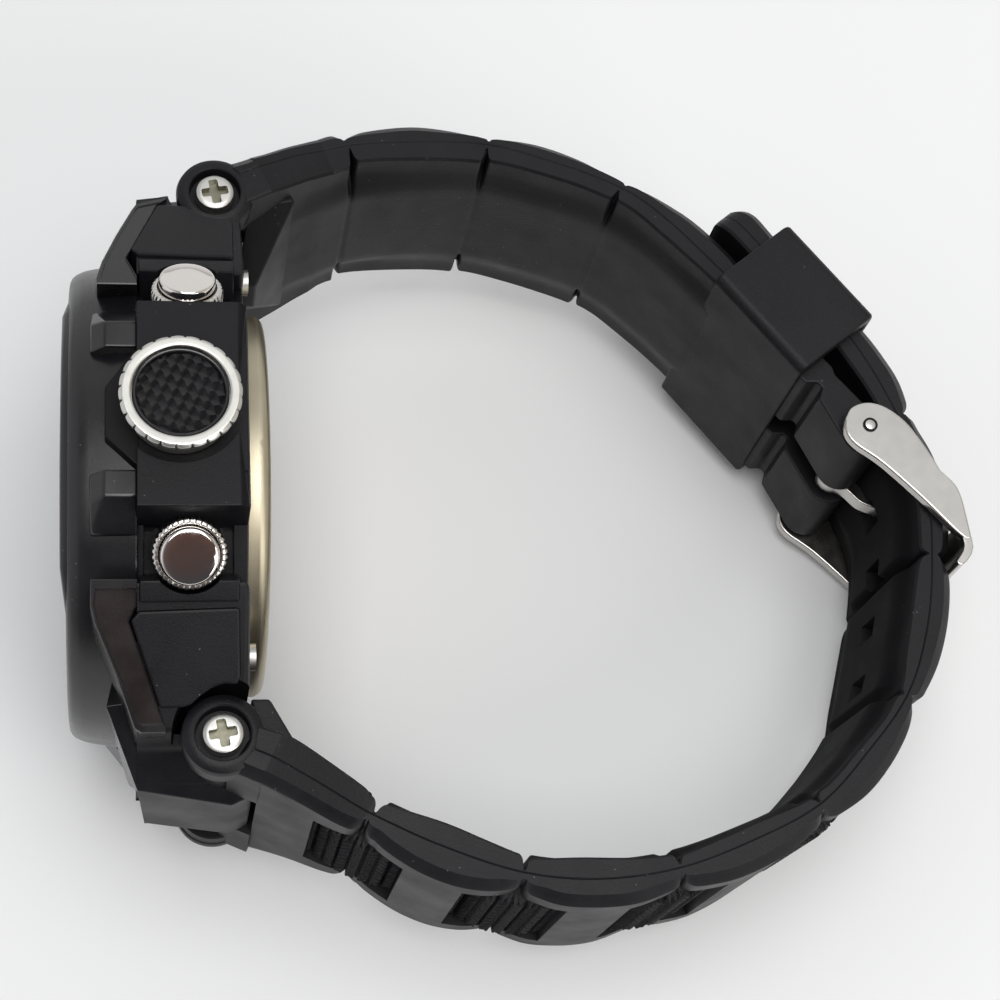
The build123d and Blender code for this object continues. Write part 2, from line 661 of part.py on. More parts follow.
with BuildPart() as strap_12:
    with BuildSketch(Plane.XY.offset(-EAR_OUT)):
        with BuildLine():
            Polyline(*strap_profile_12(), close=True)
        make_face()
    extrude(amount=2 * EAR_OUT)
    # boss round the lug screw
    with BuildSketch(Plane.XY.offset(-EAR_OUT)):
        with Locations((LUG_X, LUG_Y)):
            Circle(LUG_R)
    extrude(amount=2 * EAR_OUT)
    # narrow the strap from the ears to the first link
    for s in (1, -1):
        with BuildSketch(Plane.XZ.offset(-80)):
            with BuildLine():
                Polyline((8.5, s * 20), (8.5, s * EAR_OUT), (17.2, s * STRAP_W), (90, s * STRAP_W), (90, s * 20), close=True)
            make_face()
        extrude(amount=160, mode=Mode.SUBTRACT)
    # room for the lug block of the case
    with BuildSketch(Plane.XY.offset(-EAR_IN)):
        with BuildLine():
            Polyline((-6, 20), (7.9, 20), (7.9, 50), (-6, 50), close=True)
        make_face()
    extrude(amount=2 * EAR_IN, mode=Mode.SUBTRACT)
    # wing that lies against the rear of the case
    with BuildSketch(Plane.XY.offset(-STRAP_W)):
        with BuildLine():
            Polyline((6.65, 24.0), (8.5, 24.0), (10.9, 28.3), (12.0, 31.6), (8.0, 31.5), (6.65, 28.5), close=True)
        make_face()
    extrude(amount=2 * STRAP_W)
    # screw bores and counterbores
    with BuildSketch(Plane.XY.offset(-20)):
        with Locations((LUG_X, LUG_Y)):
            Circle(1.08)
    extrude(amount=40, mode=Mode.SUBTRACT)
    for s in (1, -1):
        with BuildSketch(Plane.XY.offset(s * 13.7)):
            with Locations((LUG_X, LUG_Y)):
                Circle(2.5)
        extrude(amount=s * 4, mode=Mode.SUBTRACT)
    # raised middle on the wrist side
    with BuildSketch(Plane.XY.offset(-PAD_W)):
        with BuildLine():
            Polyline((9.5, 28.9), (17.6, 32.6), (32.2, 33.2), (46.0, 29.2), (54.0, 21.2), (54.8, 21.4),
                     (46.2, 30.6), (32.2, 34.9), (17.9, 34.2), (9.2, 30.2), close=True)
        make_face()
    extrude(amount=2 * PAD_W)
    # recessed fields on the outside, one over each joint between links
    for (cx, cy), ang in (((17.4, 37.6), 14), ((32.6, 38.0), -10), ((46.9, 33.2), -31)):
        with BuildSketch(Plane.XY.offset(-PAD_W)):
            with Locations((cx, cy)):
                Rectangle(9.2, 4.4, rotation=ang)
        extrude(amount=2 * PAD_W, mode=Mode.SUBTRACT)
    # barrel: room for the tongue and the buckle arms, and the pin bore
    with BuildSketch(Plane.XY.offset(-1.9)):
        with Locations((70.4, 3.0)):
            Rectangle(8.6, 9.4, rotation=-35)
    extrude(amount=3.8, mode=Mode.SUBTRACT)
    with BuildSketch(Plane.XY.offset(-20)):
        with Locations(PIN):
            Circle(0.85)
    extrude(amount=40, mode=Mode.SUBTRACT)
save(strap_12.part, "strap_12")

# ------------------------------------------------------------------ strap, 6 o'clock half
outer6 = [
    [(6.4, -31.6), (10, -33.9), (14, -35.9), (16.2, -36.5)],
    [(17.7, -37.2), (19, -38.5), (22, -40.5), (25, -41.8), (28, -42.4), (30.6, -42.3)],
    [(32.4, -43.0), (35, -43.9), (38, -44.25), (42, -44.0), (45.9, -42.8)],
    [(47.7, -42.6), (50, -42.4), (53, -41.6), (56, -40.4), (59, -38.6), (61.3, -36.7)],
    [(62.2, -36.1), (66, -33.6), (68.5, -31.0), (70.5, -27.8), (71.5, -25.2)],
    [(72.4, -23.9), (74.6, -20.2), (75.8, -16.5), (76.5, -12.5), (76.5, -10.6)],
    [(77.0, -9.2), (77.5, -5), (77.2, -1), (76.3, 2.5), (75.0, 5.4)],
    [(74.8, 6.4), (73.9, 9.3), (72.6, 12.2), kp(5.4, 4.45)],
]
inner6 = [
    [(7.7, -27.2), (10.5, -28.6), (14, -30.7), (17, -32.6), (17.6, -33.6)],
    [(18.8, -34.2), (24, -36.0), (28, -37.8), (31.2, -39.3)],
    [(32.6, -39.75), (38, -39.8), (45.7, -39.7)],
    [(47.1, -39.3), (50, -38.1), (55, -36.0), (59.8, -34.1)],
    [(60.9, -33.8), (62, -33.0), (65, -30), (68, -26.8), (69.5, -24.8)],
    [(70.3, -23.4), (71.2, -20), (72.4, -15.5), (73.3, -12), (73.8, -10.2)],
    [(74.0, -9.0), (74.3, -5), (74.0, -1), (73.0, 2.5), (71.9, 5.2)],
    [(71.4, 6.8), (70.2, 9.4), kp(6.0, 1.2)],
]
apex_out6 = [(17.1, -35.9), (31.6, -41.8), (46.8, -41.8), (61.1, -35.9), (71.4, -24.6), (76.0, -9.9), (74.4, 5.8)]
apex_in6 = [(17.9, -35.0), (31.7, -40.7), (46.4, -40.5), (60.5, -34.9), (70.3, -24.3), (74.8, -9.7), (72.5, 6.0)]
TIP = -12.4


def strap_profile_6():
    pts = [(LUG_X - 0.5, -31.2)]
    for k in range(8):
        pts += outer6[k]
        if k < 7:
            pts.append(apex_out6[k])
    pts += [kp(TIP + 1.0, 4.45), kp(TIP, 3.4), kp(TIP, 2.0), kp(TIP + 0.6, 1.2)]
    for k in range(7, -1, -1):
        pts += list(reversed(inner6[k]))
        if k > 0:
            pts.append(apex_in6[k - 1])
    pts += [(LUG_X, -LUG_Y)]
    return pts


with BuildPart() as strap_6:
    with BuildSketch(Plane.XY.offset(-EAR_OUT)):
        with BuildLine():
            Polyline(*strap_profile_6(), close=True)
        make_face()
    extrude(amount=2 * EAR_OUT)
    with BuildSketch(Plane.XY.offset(-EAR_OUT)):
        with Locations((LUG_X, -LUG_Y)):
            Circle(LUG_R)
    extrude(amount=2 * EAR_OUT)
    for s in (1, -1):
        with BuildSketch(Plane.XZ.offset(-80)):
            with BuildLine():
                Polyline((8.5, s * 20), (8.5, s * EAR_OUT), (17.2, s * STRAP_W), (90, s * STRAP_W), (90, s * 20), close=True)
            make_face()
        extrude(amount=160, mode=Mode.SUBTRACT)
    with BuildSketch(Plane.XY.offset(-EAR_IN)):
        with BuildLine():
            Polyline((-6, -20), (7.9, -20), (7.9, -50), (-6, -50), close=True)
        make_face()
    extrude(amount=2 * EAR_IN, mode=Mode.SUBTRACT)
    # wing that lies against the rear of the case
    with BuildSketch(Plane.XY.offset(-STRAP_W)):
        with BuildLine():
            Polyline((6.65, -24.0), (8.5, -24.0), (10.9, -28.3), (12.0, -31.6), (8.0, -31.5), (6.65, -28.5), close=True)
        make_face()
    extrude(amount=2 * STRAP_W)
    with BuildSketch(Plane.XY.offset(-20)):
        with Locations((LUG_X, -LUG_Y)):
            Circle(1.08)
    extrude(amount=40, mode=Mode.SUBTRACT)
    for s in (1, -1):
        with BuildSketch(Plane.XY.offset(s * 13.7)):
            with Locations((LUG_X, -LUG_Y)):
                Circle(2.5)
        extrude(amount=s * 4, mode=Mode.SUBTRACT)
    with BuildSketch(Plane.XY.offset(-PAD_W)):
        with BuildLine():
            Polyline((9.5, -27.7), (17.8, -32.4), (31.9, -38.9), (46.2, -38.9), (59.9, -33.3), (69.4, -23.9),
                     (72.8, -10.6), (73.4, -9.6), (70.6, -24.6), (60.6, -35.2), (46.4, -40.9), (31.7, -41.1),
                     (17.9, -35.4), (9.2, -29.2), close=True)
        make_face()
    extrude(amount=2 * PAD_W)
    for (cx, cy), ang in (((16.6, -37.9), -27), ((31.4, -43.7), -12), ((46.8, -43.7), 9), ((61.8, -37.6), 38)):
        with BuildSketch(Plane.XY.offset(-PAD_W)):
            with Locations((cx, cy)):
                Rectangle(9.4, 4.0, rotation=ang)
        extrude(amount=2 * PAD_W, mode=Mode.SUBTRACT)
    # tongue holes
    for (cx, cy), ang in (((75.6, -0.9), -8), ((75.4, -7.9), -4), ((74.6, -14.6), -13), ((72.2, -21.2), -28),
                          ((73.4, 6.2), 22), ((69.6, 12.2), 37.5), ((65.6, 17.5), 37.5)):
        with BuildSketch(Plane.XY.offset(-1.25)):
            with Locations((cx, cy)):
                Rectangle(9.0, 3.0 if cy == -0.9 else 2.4, rotation=ang)
        extrude(amount=2.5, mode=Mode.SUBTRACT)
save(strap_6.part, "strap_6")

# ------------------------------------------------------------------ lugs
with BuildPart() as lug_tubes:
    for sy in (1, -1):
        with BuildSketch(Plane.XY.offset(-LUG_BLOCK)):
            with Locations((LUG_X, sy * LUG_Y)):
                Circle(1.52)
                Circle(1.0, mode=Mode.SUBTRACT)
        extrude(amount=2 * LUG_BLOCK)
save(lug_tubes.part, "lug_tubes")

with BuildPart() as lug_screws:
    for sy in (1, -1):
        for sz in (1, -1):
            with BuildSketch(Plane.XY.offset(sz * 13.75)):
                with Locations((LUG_X, sy * LUG_Y)):
                    Circle(1.95)
            extrude(amount=sz * 1.25)
            with BuildSketch(Plane.XY.offset(sz * 2.6)):
                with Locations((LUG_X, sy * LUG_Y)):
                    Circle(0.94)
            extrude(amount=sz * 11.3)
            with BuildSketch(Plane.XY.offset(sz * 14.3)):
                with Locations((LUG_X, sy * LUG_Y)):
                    Rectangle(0.62, 2.5, rotation=10)
                    Rectangle(2.5, 0.62, rotation=10)
            extrude(amount=sz * 2, mode=Mode.SUBTRACT)
save(lug_screws.part, "lug_screws")

# ------------------------------------------------------------------ keeper
with BuildPart() as keeper:
    with BuildSketch(Plane(origin=(*kp(-6.6, 0), 0), x_dir=(KN[0], KN[1], 0), z_dir=(KU[0], KU[1], 0))):
        with Locations((0, 0)):
            RectangleRounded(10.9, 28.0, 1.0)
            RectangleRounded(9.3, 24.6, 0.4, mode=Mode.SUBTRACT)
    extrude(amount=13.2)
save(keeper.part, "keeper")

# ------------------------------------------------------------------ buckle
arm = [(67.4, 4.3), (68.2, 5.6), (69.9, 6.2), (71.9, 5.5), (73.6, 3.1), (75.3, -0.6), (76.6, -2.9), (78.2, -4.4),
       (79.0, -7.4), (79.1, -8.7), (78.3, -8.9), (76.9, -7.9), (74.1, -4.7), (70.5, -0.8), (67.8, 1.8), (67.3, 3.2)]
with BuildPart() as buckle_frame:
    for s in (1, -1):
        with BuildSketch(Plane.XY.offset(s * 12.45)):
            with BuildLine():
                Polyline(*arm, close=True)
            make_face()
        extrude(amount=s * 1.2)
    with BuildSketch(Plane.XY.offset(-13.65)):
        with BuildLine():
            Polyline((79.1, -8.7), (79.0, -10.2), (77.7, -11.6), (77.1, -11.0), (78.1, -9.9), (78.3, -8.9),
                     (78.0, -8.4), (78.7, -7.4), close=True)
        make_face()
    extrude(amount=27.3)
    with BuildSketch(Plane.XY.offset(-20)):
        with Locations(PIN):
            Circle(0.82)
    extrude(amount=40, mode=Mode.SUBTRACT)
save(buckle_frame.part, "buckle_frame")

with BuildPart() as buckle_tongue:
    with BuildSketch(Plane.XY.offset(-1.0)):
        with Locations(PIN):
            Circle(1.7)
        with BuildLine():
            Polyline((70.6, 5.1), (71.3, 3.2), (73.0, 0.3), (74.0, -0.25), (77.9, -1.45), (79.6, -3.4), (80.35, -6.2),
                     (80.3, -9.9), (79.3, -10.1), (79.25, -6.4), (78.6, -4.0), (77.4, -2.55), (73.4, -1.4),
                     (72.0, -0.6), (70.9, 1.6), (69.0, 2.2), close=True)
        make_face()
        with Locations(PIN):
            Circle(0.82, mode=Mode.SUBTRACT)
    extrude(amount=2.0)
save(buckle_tongue.part, "buckle_tongue")

with BuildPart() as buckle_pin:
    with BuildSketch(Plane.XY.offset(-13.8)):
        with Locations(PIN):
            Circle(0.76)
    extrude(amount=27.6)
save(buckle_pin.part, "buckle_pin")
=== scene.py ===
import math

import bmesh
import bpy
import numpy as np
from mathutils import Matrix, Vector


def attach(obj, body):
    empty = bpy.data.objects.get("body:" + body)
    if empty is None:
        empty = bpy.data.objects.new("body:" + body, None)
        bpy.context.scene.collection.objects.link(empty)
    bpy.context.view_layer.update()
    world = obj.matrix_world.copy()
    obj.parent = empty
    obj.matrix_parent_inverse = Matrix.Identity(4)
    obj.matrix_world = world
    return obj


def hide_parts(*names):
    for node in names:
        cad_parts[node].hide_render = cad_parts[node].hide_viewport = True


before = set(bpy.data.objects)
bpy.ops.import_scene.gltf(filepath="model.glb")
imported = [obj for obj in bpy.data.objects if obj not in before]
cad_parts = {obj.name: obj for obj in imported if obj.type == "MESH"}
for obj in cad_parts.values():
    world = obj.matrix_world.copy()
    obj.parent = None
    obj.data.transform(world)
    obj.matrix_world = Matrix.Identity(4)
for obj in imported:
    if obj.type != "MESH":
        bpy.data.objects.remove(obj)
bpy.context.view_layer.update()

XB = 8.67            # outer face of the case back, mm, in the sketch frame

# ====================================================================
# mesh tools: everything is drawn in millimetres with X = 0 on the crown axis
# ====================================================================


class Piece:
    def __init__(self):
        self.v, self.f, self.m, self.n = [], [], [], 0

    def add(self, verts, faces, mat=0):
        verts = np.asarray([tuple(v) for v in verts] if not isinstance(verts, np.ndarray) else verts, float)
        base = self.n
        self.v.append(verts)
        self.f.extend([tuple(int(i) + base for i in f) for f in faces])
        self.m.extend([mat] * len(faces))
        self.n += len(verts)

    def join(self, other, mat=None):
        base = self.n
        for v in other.v:
            self.v.append(v.copy())
        self.f.extend([tuple(i + base for i in f) for f in other.f])
        self.m.extend(other.m if mat is None else [mat] * len(other.f))
        self.n += other.n

    def moved(self, fn):
        new = Piece()
        new.v = [fn(v) for v in self.v]
        new.f, new.m, new.n = list(self.f), list(self.m), self.n
        return new


def build_mesh(name, piece, mats, angle):
    me = bpy.data.meshes.new(name)
    co = np.concatenate(piece.v)
    co = (co - np.array([XB, 0, 0])) / 1000.0
    me.from_pydata(co.tolist(), [], piece.f)
    for mt in mats:
        me.materials.append(mt)
    me.polygons.foreach_set("material_index", piece.m)
    bm = bmesh.new()
    bm.from_mesh(me)
    bmesh.ops.recalc_face_normals(bm, faces=bm.faces)
    bm.to_mesh(me)
    bm.free()
    me.polygons.foreach_set("use_smooth", [True] * len(me.polygons))
    me.set_sharp_from_angle(angle=math.radians(angle))
    me.update()
    return me


def place(name, piece, mats, body, replaces=(), angle=28):
    me = build_mesh(name, piece, mats, angle)
    ob = bpy.data.objects.new(name, me)
    bpy.context.scene.collection.objects.link(ob)
    wn = ob.modifiers.new("flat_faces", "WEIGHTED_NORMAL")
    wn.keep_sharp = True
    if replaces:
        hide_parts(*replaces)
    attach(ob, body)
    return ob


def axes(origin, normal, xdir=(1, 0, 0)):
    n = Vector(normal).normalized()
    x = Vector(xdir)
    x = (x - n * x.dot(n)).normalized()
    return Vector(origin), x, n.cross(x), n


XY = axes((0, 0, 0), (0, 0, 1), (1, 0, 0))     # a = X, b = Y, h = Z
YZ = axes((0, 0, 0), (1, 0, 0), (0, 1, 0))     # a = Y, b = Z, h = X


def from_bm(piece, bm, mat=0):
    bm.verts.index_update()
    piece.add([v.co for v in bm.verts], [[v.index for v in f.verts] for f in bm.faces], mat)
    bm.free()


def bevel_bm(bm, width, seg, edges=None, min_angle=0.3):
    bm.normal_update()
    pick = [e for e in (edges if edges is not None else bm.edges)
            if len(e.link_faces) == 2 and e.calc_face_angle(0) > min_angle]
    if pick and width > 0:
        bmesh.ops.bevel(bm, geom=pick, offset=width, offset_type="OFFSET", segments=seg, profile=0.5,
                        affect="EDGES", clamp_overlap=True)


def prism(piece, poly, lo, hi, fr, bevel=0.25, seg=2, mat=0, which="all", min_angle=0.3):
    """Polygon in a frame, between two heights, edges rounded. which: all, top or bottom."""
    o, ea, eb, en = fr
    bm = bmesh.new()
    bot = [bm.verts.new(o + ea * a + eb * b + en * lo) for a, b in poly]
    top = [bm.verts.new(o + ea * a + eb * b + en * hi) for a, b in poly]
    n = len(poly)
    bm.faces.new(list(reversed(bot)))
    bm.faces.new(top)
    for i in range(n):
        j = (i + 1) % n
        bm.faces.new((bot[i], bot[j], top[j], top[i]))
    bmesh.ops.recalc_face_normals(bm, faces=bm.faces)
    edges = None
    if which != "all":
        tset = set(top if which == "top" else bot)
        other = set(bot if which == "top" else top)
        edges = [e for e in bm.edges if not (e.verts[0] in other and e.verts[1] in other)]
        edges = [e for e in edges if e.verts[0] in tset or e.verts[1] in tset]
    bevel_bm(bm, bevel, seg, edges, min_angle)
    from_bm(piece, bm, mat)


def hull(piece, pts, bevel=0.25, seg=2, mat=0):
    bm = bmesh.new()
    for p in pts:
        bm.verts.new(p)
    res = bmesh.ops.convex_hull(bm, input=bm.verts)
    junk = [g for g in res.get("geom_interior", []) if isinstance(g, bmesh.types.BMVert)]
    junk += [g for g in res.get("geom_unused", []) if isinstance(g, bmesh.types.BMVert)]
    if junk:
        bmesh.ops.delete(bm, geom=list(set(junk)), context="VERTS")
    bmesh.ops.dissolve_limit(bm, angle_limit=math.radians(1.5), verts=bm.verts, edges=bm.edges)
    bevel_bm(bm, bevel, seg)
    from_bm(piece, bm, mat)


def lathe(piece, profile, origin, axis, n=96, mat=0, mod=None, xdir=None, closed=False):
    """profile: (height along the axis, radius) points, revolved."""
    ax = Vector(axis).normalized()
    x = Vector(xdir) if xdir else (Vector((1, 0, 0)) if abs(ax.x) < 0.9 else Vector((0, 1, 0)))
    o, ex, ey, en = axes(origin, ax, x)
    o, ex, ey, en = (np.array(q) for q in (o, ex, ey, en))
    th = np.linspace(0, 2 * math.pi, n, endpoint=False)
    rows = []
    for i, (h, r) in enumerate(profile):
        rr = np.full(n, max(r, 1e-4))
        if mod is not None:
            rr = rr + mod(th, i)
        rows.append(o + en * h + np.outer(rr * np.cos(th), ex) + np.outer(rr * np.sin(th), ey))
    verts = np.concatenate(rows)
    faces = []
    k = len(profile)
    for i in range(k if closed else k - 1):
        a, b = i * n, ((i + 1) % k) * n
        for j in range(n):
            jj = (j + 1) % n
            faces.append((a + j, a + jj, b + jj, b + j))
    piece.add(verts, faces, mat)


def dense(points, per=24):
    """Catmull-Rom through points."""
    p = np.array(points, float)
    p = np.vstack([2 * p[0] - p[1], p, 2 * p[-1] - p[-2]])
    out = []
    for i in range(1, len(p) - 2):
        t = np.linspace(0, 1, per, endpoint=False)[:, None]
        a, b, c, d = p[i - 1], p[i], p[i + 1], p[i + 2]
        out.append(0.5 * ((2 * b) + (c - a) * t + (2 * a - 5 * b + 4 * c - d) * t ** 2 + (3 * b - 3 * c + d - a) * t ** 3))
    out.append(p[-2][None])
    return np.vstack(out)


def boolean(base, tool, op="DIFFERENCE"):
    """base piece minus tool piece, as a new piece."""
    obs = []
    for nm, pc in (("tmp_a", base), ("tmp_b", tool)):
        me = bpy.data.meshes.new(nm)
        me.from_pydata(np.concatenate(pc.v).tolist(), [], pc.f)
        bm = bmesh.new()
        bm.from_mesh(me)
        bmesh.ops.recalc_face_normals(bm, faces=bm.faces)
        bm.to_mesh(me)
        bm.free()
        ob = bpy.data.objects.new(nm, me)
        bpy.context.scene.collection.objects.link(ob)
        obs.append(ob)
    md = obs[0].modifiers.new("cut", "BOOLEAN")
    md.operation, md.solver, md.object = op, "EXACT", obs[1]
    dg = bpy.context.evaluated_depsgraph_get()
    ev = obs[0].evaluated_get(dg)
    me = ev.to_mesh()
    out = Piece()
    out.add([v.co for v in me.vertices], [list(p.vertices) for p in me.polygons])
    ev.to_mesh_clear()
    for ob in obs:
        data = ob.data
        bpy.data.objects.remove(ob)
        bpy.data.meshes.remove(data)
    return out


# ====================================================================
# materials
# ====================================================================
def new_mat(name):
    mt = bpy.data.materials.new(name)
    mt.use_nodes = True
    nt = mt.node_tree
    nt.nodes.clear()
    out = nt.nodes.new("ShaderNodeOutputMaterial")
    bs = nt.nodes.new("ShaderNodeBsdfPrincipled")
    nt.links.new(bs.outputs["BSDF"], out.inputs["Surface"])
    tc = nt.nodes.new("ShaderNodeTexCoord")
    return mt, nt, bs, tc


def noise(nt, tc, scale, detail=3.0, rough=0.55, stretch=None, dist=0.0):
    mp = nt.nodes.new("ShaderNodeMapping")
    nt.links.new(tc.outputs["Object"], mp.inputs["Vector"])
    if stretch:
        mp.inputs["Scale"].default_value = stretch
    nz = nt.nodes.new("ShaderNodeTexNoise")
    nz.inputs["Scale"].default_value = scale
    nz.inputs["Detail"].default_value = detail
    nz.inputs["Roughness"].default_value = rough
    nz.inputs["Distortion"].default_value = dist
    nt.links.new(mp.outputs["Vector"], nz.inputs["Vector"])
    return nz


def ramp(nt, src, stops):
    rp = nt.nodes.new("ShaderNodeValToRGB")
    el = rp.color_ramp.elements
    while len(el) > len(stops):
        el.remove(el[-1])
    while len(el) < len(stops):
        el.new(0.5)
    for e, (pos, col) in zip(el, stops):
        e.position = pos
        e.color = col if len(col) == 4 else (*col, 1)
    nt.links.new(src, rp.inputs["Fac"])
    return rp


def maprange(nt, src, a, b, c, d):
    mr = nt.nodes.new("ShaderNodeMapRange")
    mr.inputs["From Min"].default_value = a
    mr.inputs["From Max"].default_value = b
    mr.inputs["To Min"].default_value = c
    mr.inputs["To Max"].default_value = d
    nt.links.new(src, mr.inputs["Value"])
    return mr


def mixc(nt, fac, a, b):
    mx = nt.nodes.new("ShaderNodeMix")
    mx.data_type = "RGBA"
    if hasattr(fac, "is_linked"):
        nt.links.new(fac, mx.inputs["Factor"])
    else:
        mx.inputs["Factor"].default_value = fac
    for val, key in ((a, 6), (b, 7)):
        if hasattr(val, "is_linked"):
            nt.links.new(val, mx.inputs[key])
        else:
            mx.inputs[key].default_value = (*val, 1) if len(val) == 3 else val
    return mx.outputs[2]


def bump(nt, bs, src, dist, strength=1.0, prev=None):
    bp = nt.nodes.new("ShaderNodeBump")
    bp.inputs["Strength"].default_value = strength
    bp.inputs["Distance"].default_value = dist
    nt.links.new(src, bp.inputs["Height"])
    if prev is not None:
        nt.links.new(prev.outputs["Normal"], bp.inputs["Normal"])
    nt.links.new(bp.outputs["Normal"], bs.inputs["Normal"])
    return bp


def resin(name, dark, light, rough=(0.48, 0.62), grain=9000, grain_h=0.000012, specks=0.0, spec=0.5, big=180,
          coat=0.0):
    mt, nt, bs, tc = new_mat(name)
    n1 = noise(nt, tc, big, 4)
    n2 = noise(nt, tc, grain, 2)
    base = ramp(nt, n1.outputs["Fac"], [(0.3, dark), (0.72, light)])
    col = base.outputs["Color"]
    fine = maprange(nt, n2.outputs["Fac"], 0.35, 0.75, 0.0, 0.35)
    col = mixc(nt, fine.outputs["Result"], col, tuple(min(1, c * 1.9) for c in light))
    if specks > 0:
        vo = nt.nodes.new("ShaderNodeTexVoronoi")
        vo.inputs["Scale"].default_value = 2600
        nt.links.new(tc.outputs["Object"], vo.inputs["Vector"])
        near = maprange(nt, vo.outputs["Distance"], 0.05, 0.2, 1.0, 0.0)
        rnd = nt.nodes.new("ShaderNodeSeparateColor")
        nt.links.new(vo.outputs["Color"], rnd.inputs["Color"])
        keep = nt.nodes.new("ShaderNodeMath")
        keep.operation = "GREATER_THAN"
        keep.inputs[1].default_value = 1.0 - specks
        nt.links.new(rnd.outputs[0], keep.inputs[0])
        mul = nt.nodes.new("ShaderNodeMath")
        mul.operation = "MULTIPLY"
        nt.links.new(near.outputs["Result"], mul.inputs[0])
        nt.links.new(keep.outputs[0], mul.inputs[1])
        col = mixc(nt, mul.outputs[0], col, (0.16, 0.16, 0.17))
    nt.links.new(col, bs.inputs["Base Color"])
    rr = maprange(nt, n1.outputs["Fac"], 0.3, 0.7, rough[0], rough[1])
    nt.links.new(rr.outputs["Result"], bs.inputs["Roughness"])
    bs.inputs["Specular IOR Level"].default_value = spec
    bs.inputs["Coat Weight"].default_value = coat
    bs.inputs["Coat Roughness"].default_value = 0.25
    b1 = bump(nt, bs, n2.outputs["Fac"], grain_h)
    bump(nt, bs, n1.outputs["Fac"], 0.00002, 0.5, b1)
    return mt


def metal(name, a, b, rough=(0.08, 0.16), scale=900, stretch=None, bump_h=0.0, dirt=None):
    mt, nt, bs, tc = new_mat(name)
    n1 = noise(nt, tc, 140, 4)
    n2 = noise(nt, tc, scale, 3, 0.6, stretch)
    base = ramp(nt, n1.outputs["Fac"], [(0.3, a), (0.7, b)])
    nt.links.new(base.outputs["Color"], bs.inputs["Base Color"])
    rr = maprange(nt, n2.outputs["Fac"], 0.3, 0.7, rough[0], rough[1])
    nt.links.new(rr.outputs["Result"], bs.inputs["Roughness"])
    bs.inputs["Metallic"].default_value = 1.0
    if bump_h:
        bump(nt, bs, n2.outputs["Fac"], bump_h)
    return mt


def brushed_radial(name, a, b, rough=(0.2, 0.36), bump_h=0.000004):
    """Brushing that runs in circles round the X axis."""
    mt, nt, bs, tc = new_mat(name)
    sep = nt.nodes.new("ShaderNodeSeparateXYZ")
    nt.links.new(tc.outputs["Object"], sep.inputs["Vector"])
    yy = nt.nodes.new("ShaderNodeMath"); yy.operation = "MULTIPLY"
    nt.links.new(sep.outputs["Y"], yy.inputs[0]); nt.links.new(sep.outputs["Y"], yy.inputs[1])
    zz = nt.nodes.new("ShaderNodeMath"); zz.operation = "MULTIPLY_ADD"
    nt.links.new(sep.outputs["Z"], zz.inputs[0]); nt.links.new(sep.outputs["Z"], zz.inputs[1])
    nt.links.new(yy.outputs[0], zz.inputs[2])
    sq = nt.nodes.new("ShaderNodeMath"); sq.operation = "SQRT"
    nt.links.new(zz.outputs[0], sq.inputs[0])
    comb = nt.nodes.new("ShaderNodeCombineXYZ")
    nt.links.new(sq.outputs[0], comb.inputs["X"])
    nt.links.new(sep.outputs["X"], comb.inputs["Y"])
    nz = nt.nodes.new("ShaderNodeTexNoise")
    nz.inputs["Scale"].default_value = 9000
    nz.inputs["Detail"].default_value = 3
    nt.links.new(comb.outputs["Vector"], nz.inputs["Vector"])
    n1 = noise(nt, tc, 160, 4)
    base = ramp(nt, n1.outputs["Fac"], [(0.3, a), (0.7, b)])
    nt.links.new(base.outputs["Color"], bs.inputs["Base Color"])
    rr = maprange(nt, nz.outputs["Fac"], 0.3, 0.7, rough[0], rough[1])
    nt.links.new(rr.outputs["Result"], bs.inputs["Roughness"])
    bs.inputs["Metallic"].default_value = 1.0
    bump(nt, bs, nz.outputs["Fac"], bump_h)
    return mt


def glass(name):
    mt, nt, bs, tc = new_mat(name)
    n1 = noise(nt, tc, 300, 3)
    base = ramp(nt, n1.outputs["Fac"], [(0.3, (0.93, 0.96, 0.97)), (0.7, (0.97, 0.98, 0.99))])
    nt.links.new(base.outputs["Color"], bs.inputs["Base Color"])
    rr = maprange(nt, n1.outputs["Fac"], 0.3, 0.7, 0.0, 0.02)
    nt.links.new(rr.outputs["Result"], bs.inputs["Roughness"])
    bs.inputs["Transmission Weight"].default_value = 1.0
    bs.inputs["IOR"].default_value = 1.45
    return mt


M_STRAP = resin("strap_resin_look", (0.0038, 0.0038, 0.0048), (0.0070, 0.0069, 0.0086), (0.40, 0.54), 4600, 0.000026, specks=0.02, spec=0.23)
# darker, duller copy of the strap resin for the inner face of the lower strap: painted shade on that face
M_STRAP_IN_SHADE = resin("strap_inner_painted_shade_look", (0.0030, 0.0030, 0.0038), (0.0055, 0.0054, 0.0066), (0.62, 0.74), 7000, 0.000016, specks=0.01, spec=0.06)
M_CASE = resin("case_resin_look", (0.0030, 0.0030, 0.0039), (0.0060, 0.0058, 0.0076), (0.36, 0.50), 5200, 0.000017, specks=0.02, spec=0.20)
M_BEZEL = resin("bezel_resin_look", (0.0035, 0.0032, 0.0040), (0.0068, 0.0062, 0.0075), (0.22, 0.34), 11000, 0.000005, specks=0.02, spec=0.55)
M_FIELD = resin("bezel_field_look", (0.0085, 0.0060, 0.0062), (0.0150, 0.0105, 0.0105), (0.20, 0.32), 12000, 0.000004, specks=0.0, spec=0.45)
M_INLAY = resin("inlay_rubber_look", (0.0050, 0.0050, 0.0057), (0.0095, 0.0095, 0.0110), (0.17, 0.25), 9000, 0.000001, spec=0.66)
M_SEAL = resin("seal_rubber_look", (0.0060, 0.0060, 0.0060), (0.0120, 0.0120, 0.0120), (0.5, 0.7), 9000, 0.000006)
M_DIAL = resin("dial_look", (0.0050, 0.0050, 0.0065), (0.0110, 0.0110, 0.0135), (0.45, 0.6), 12000, 0.000004)
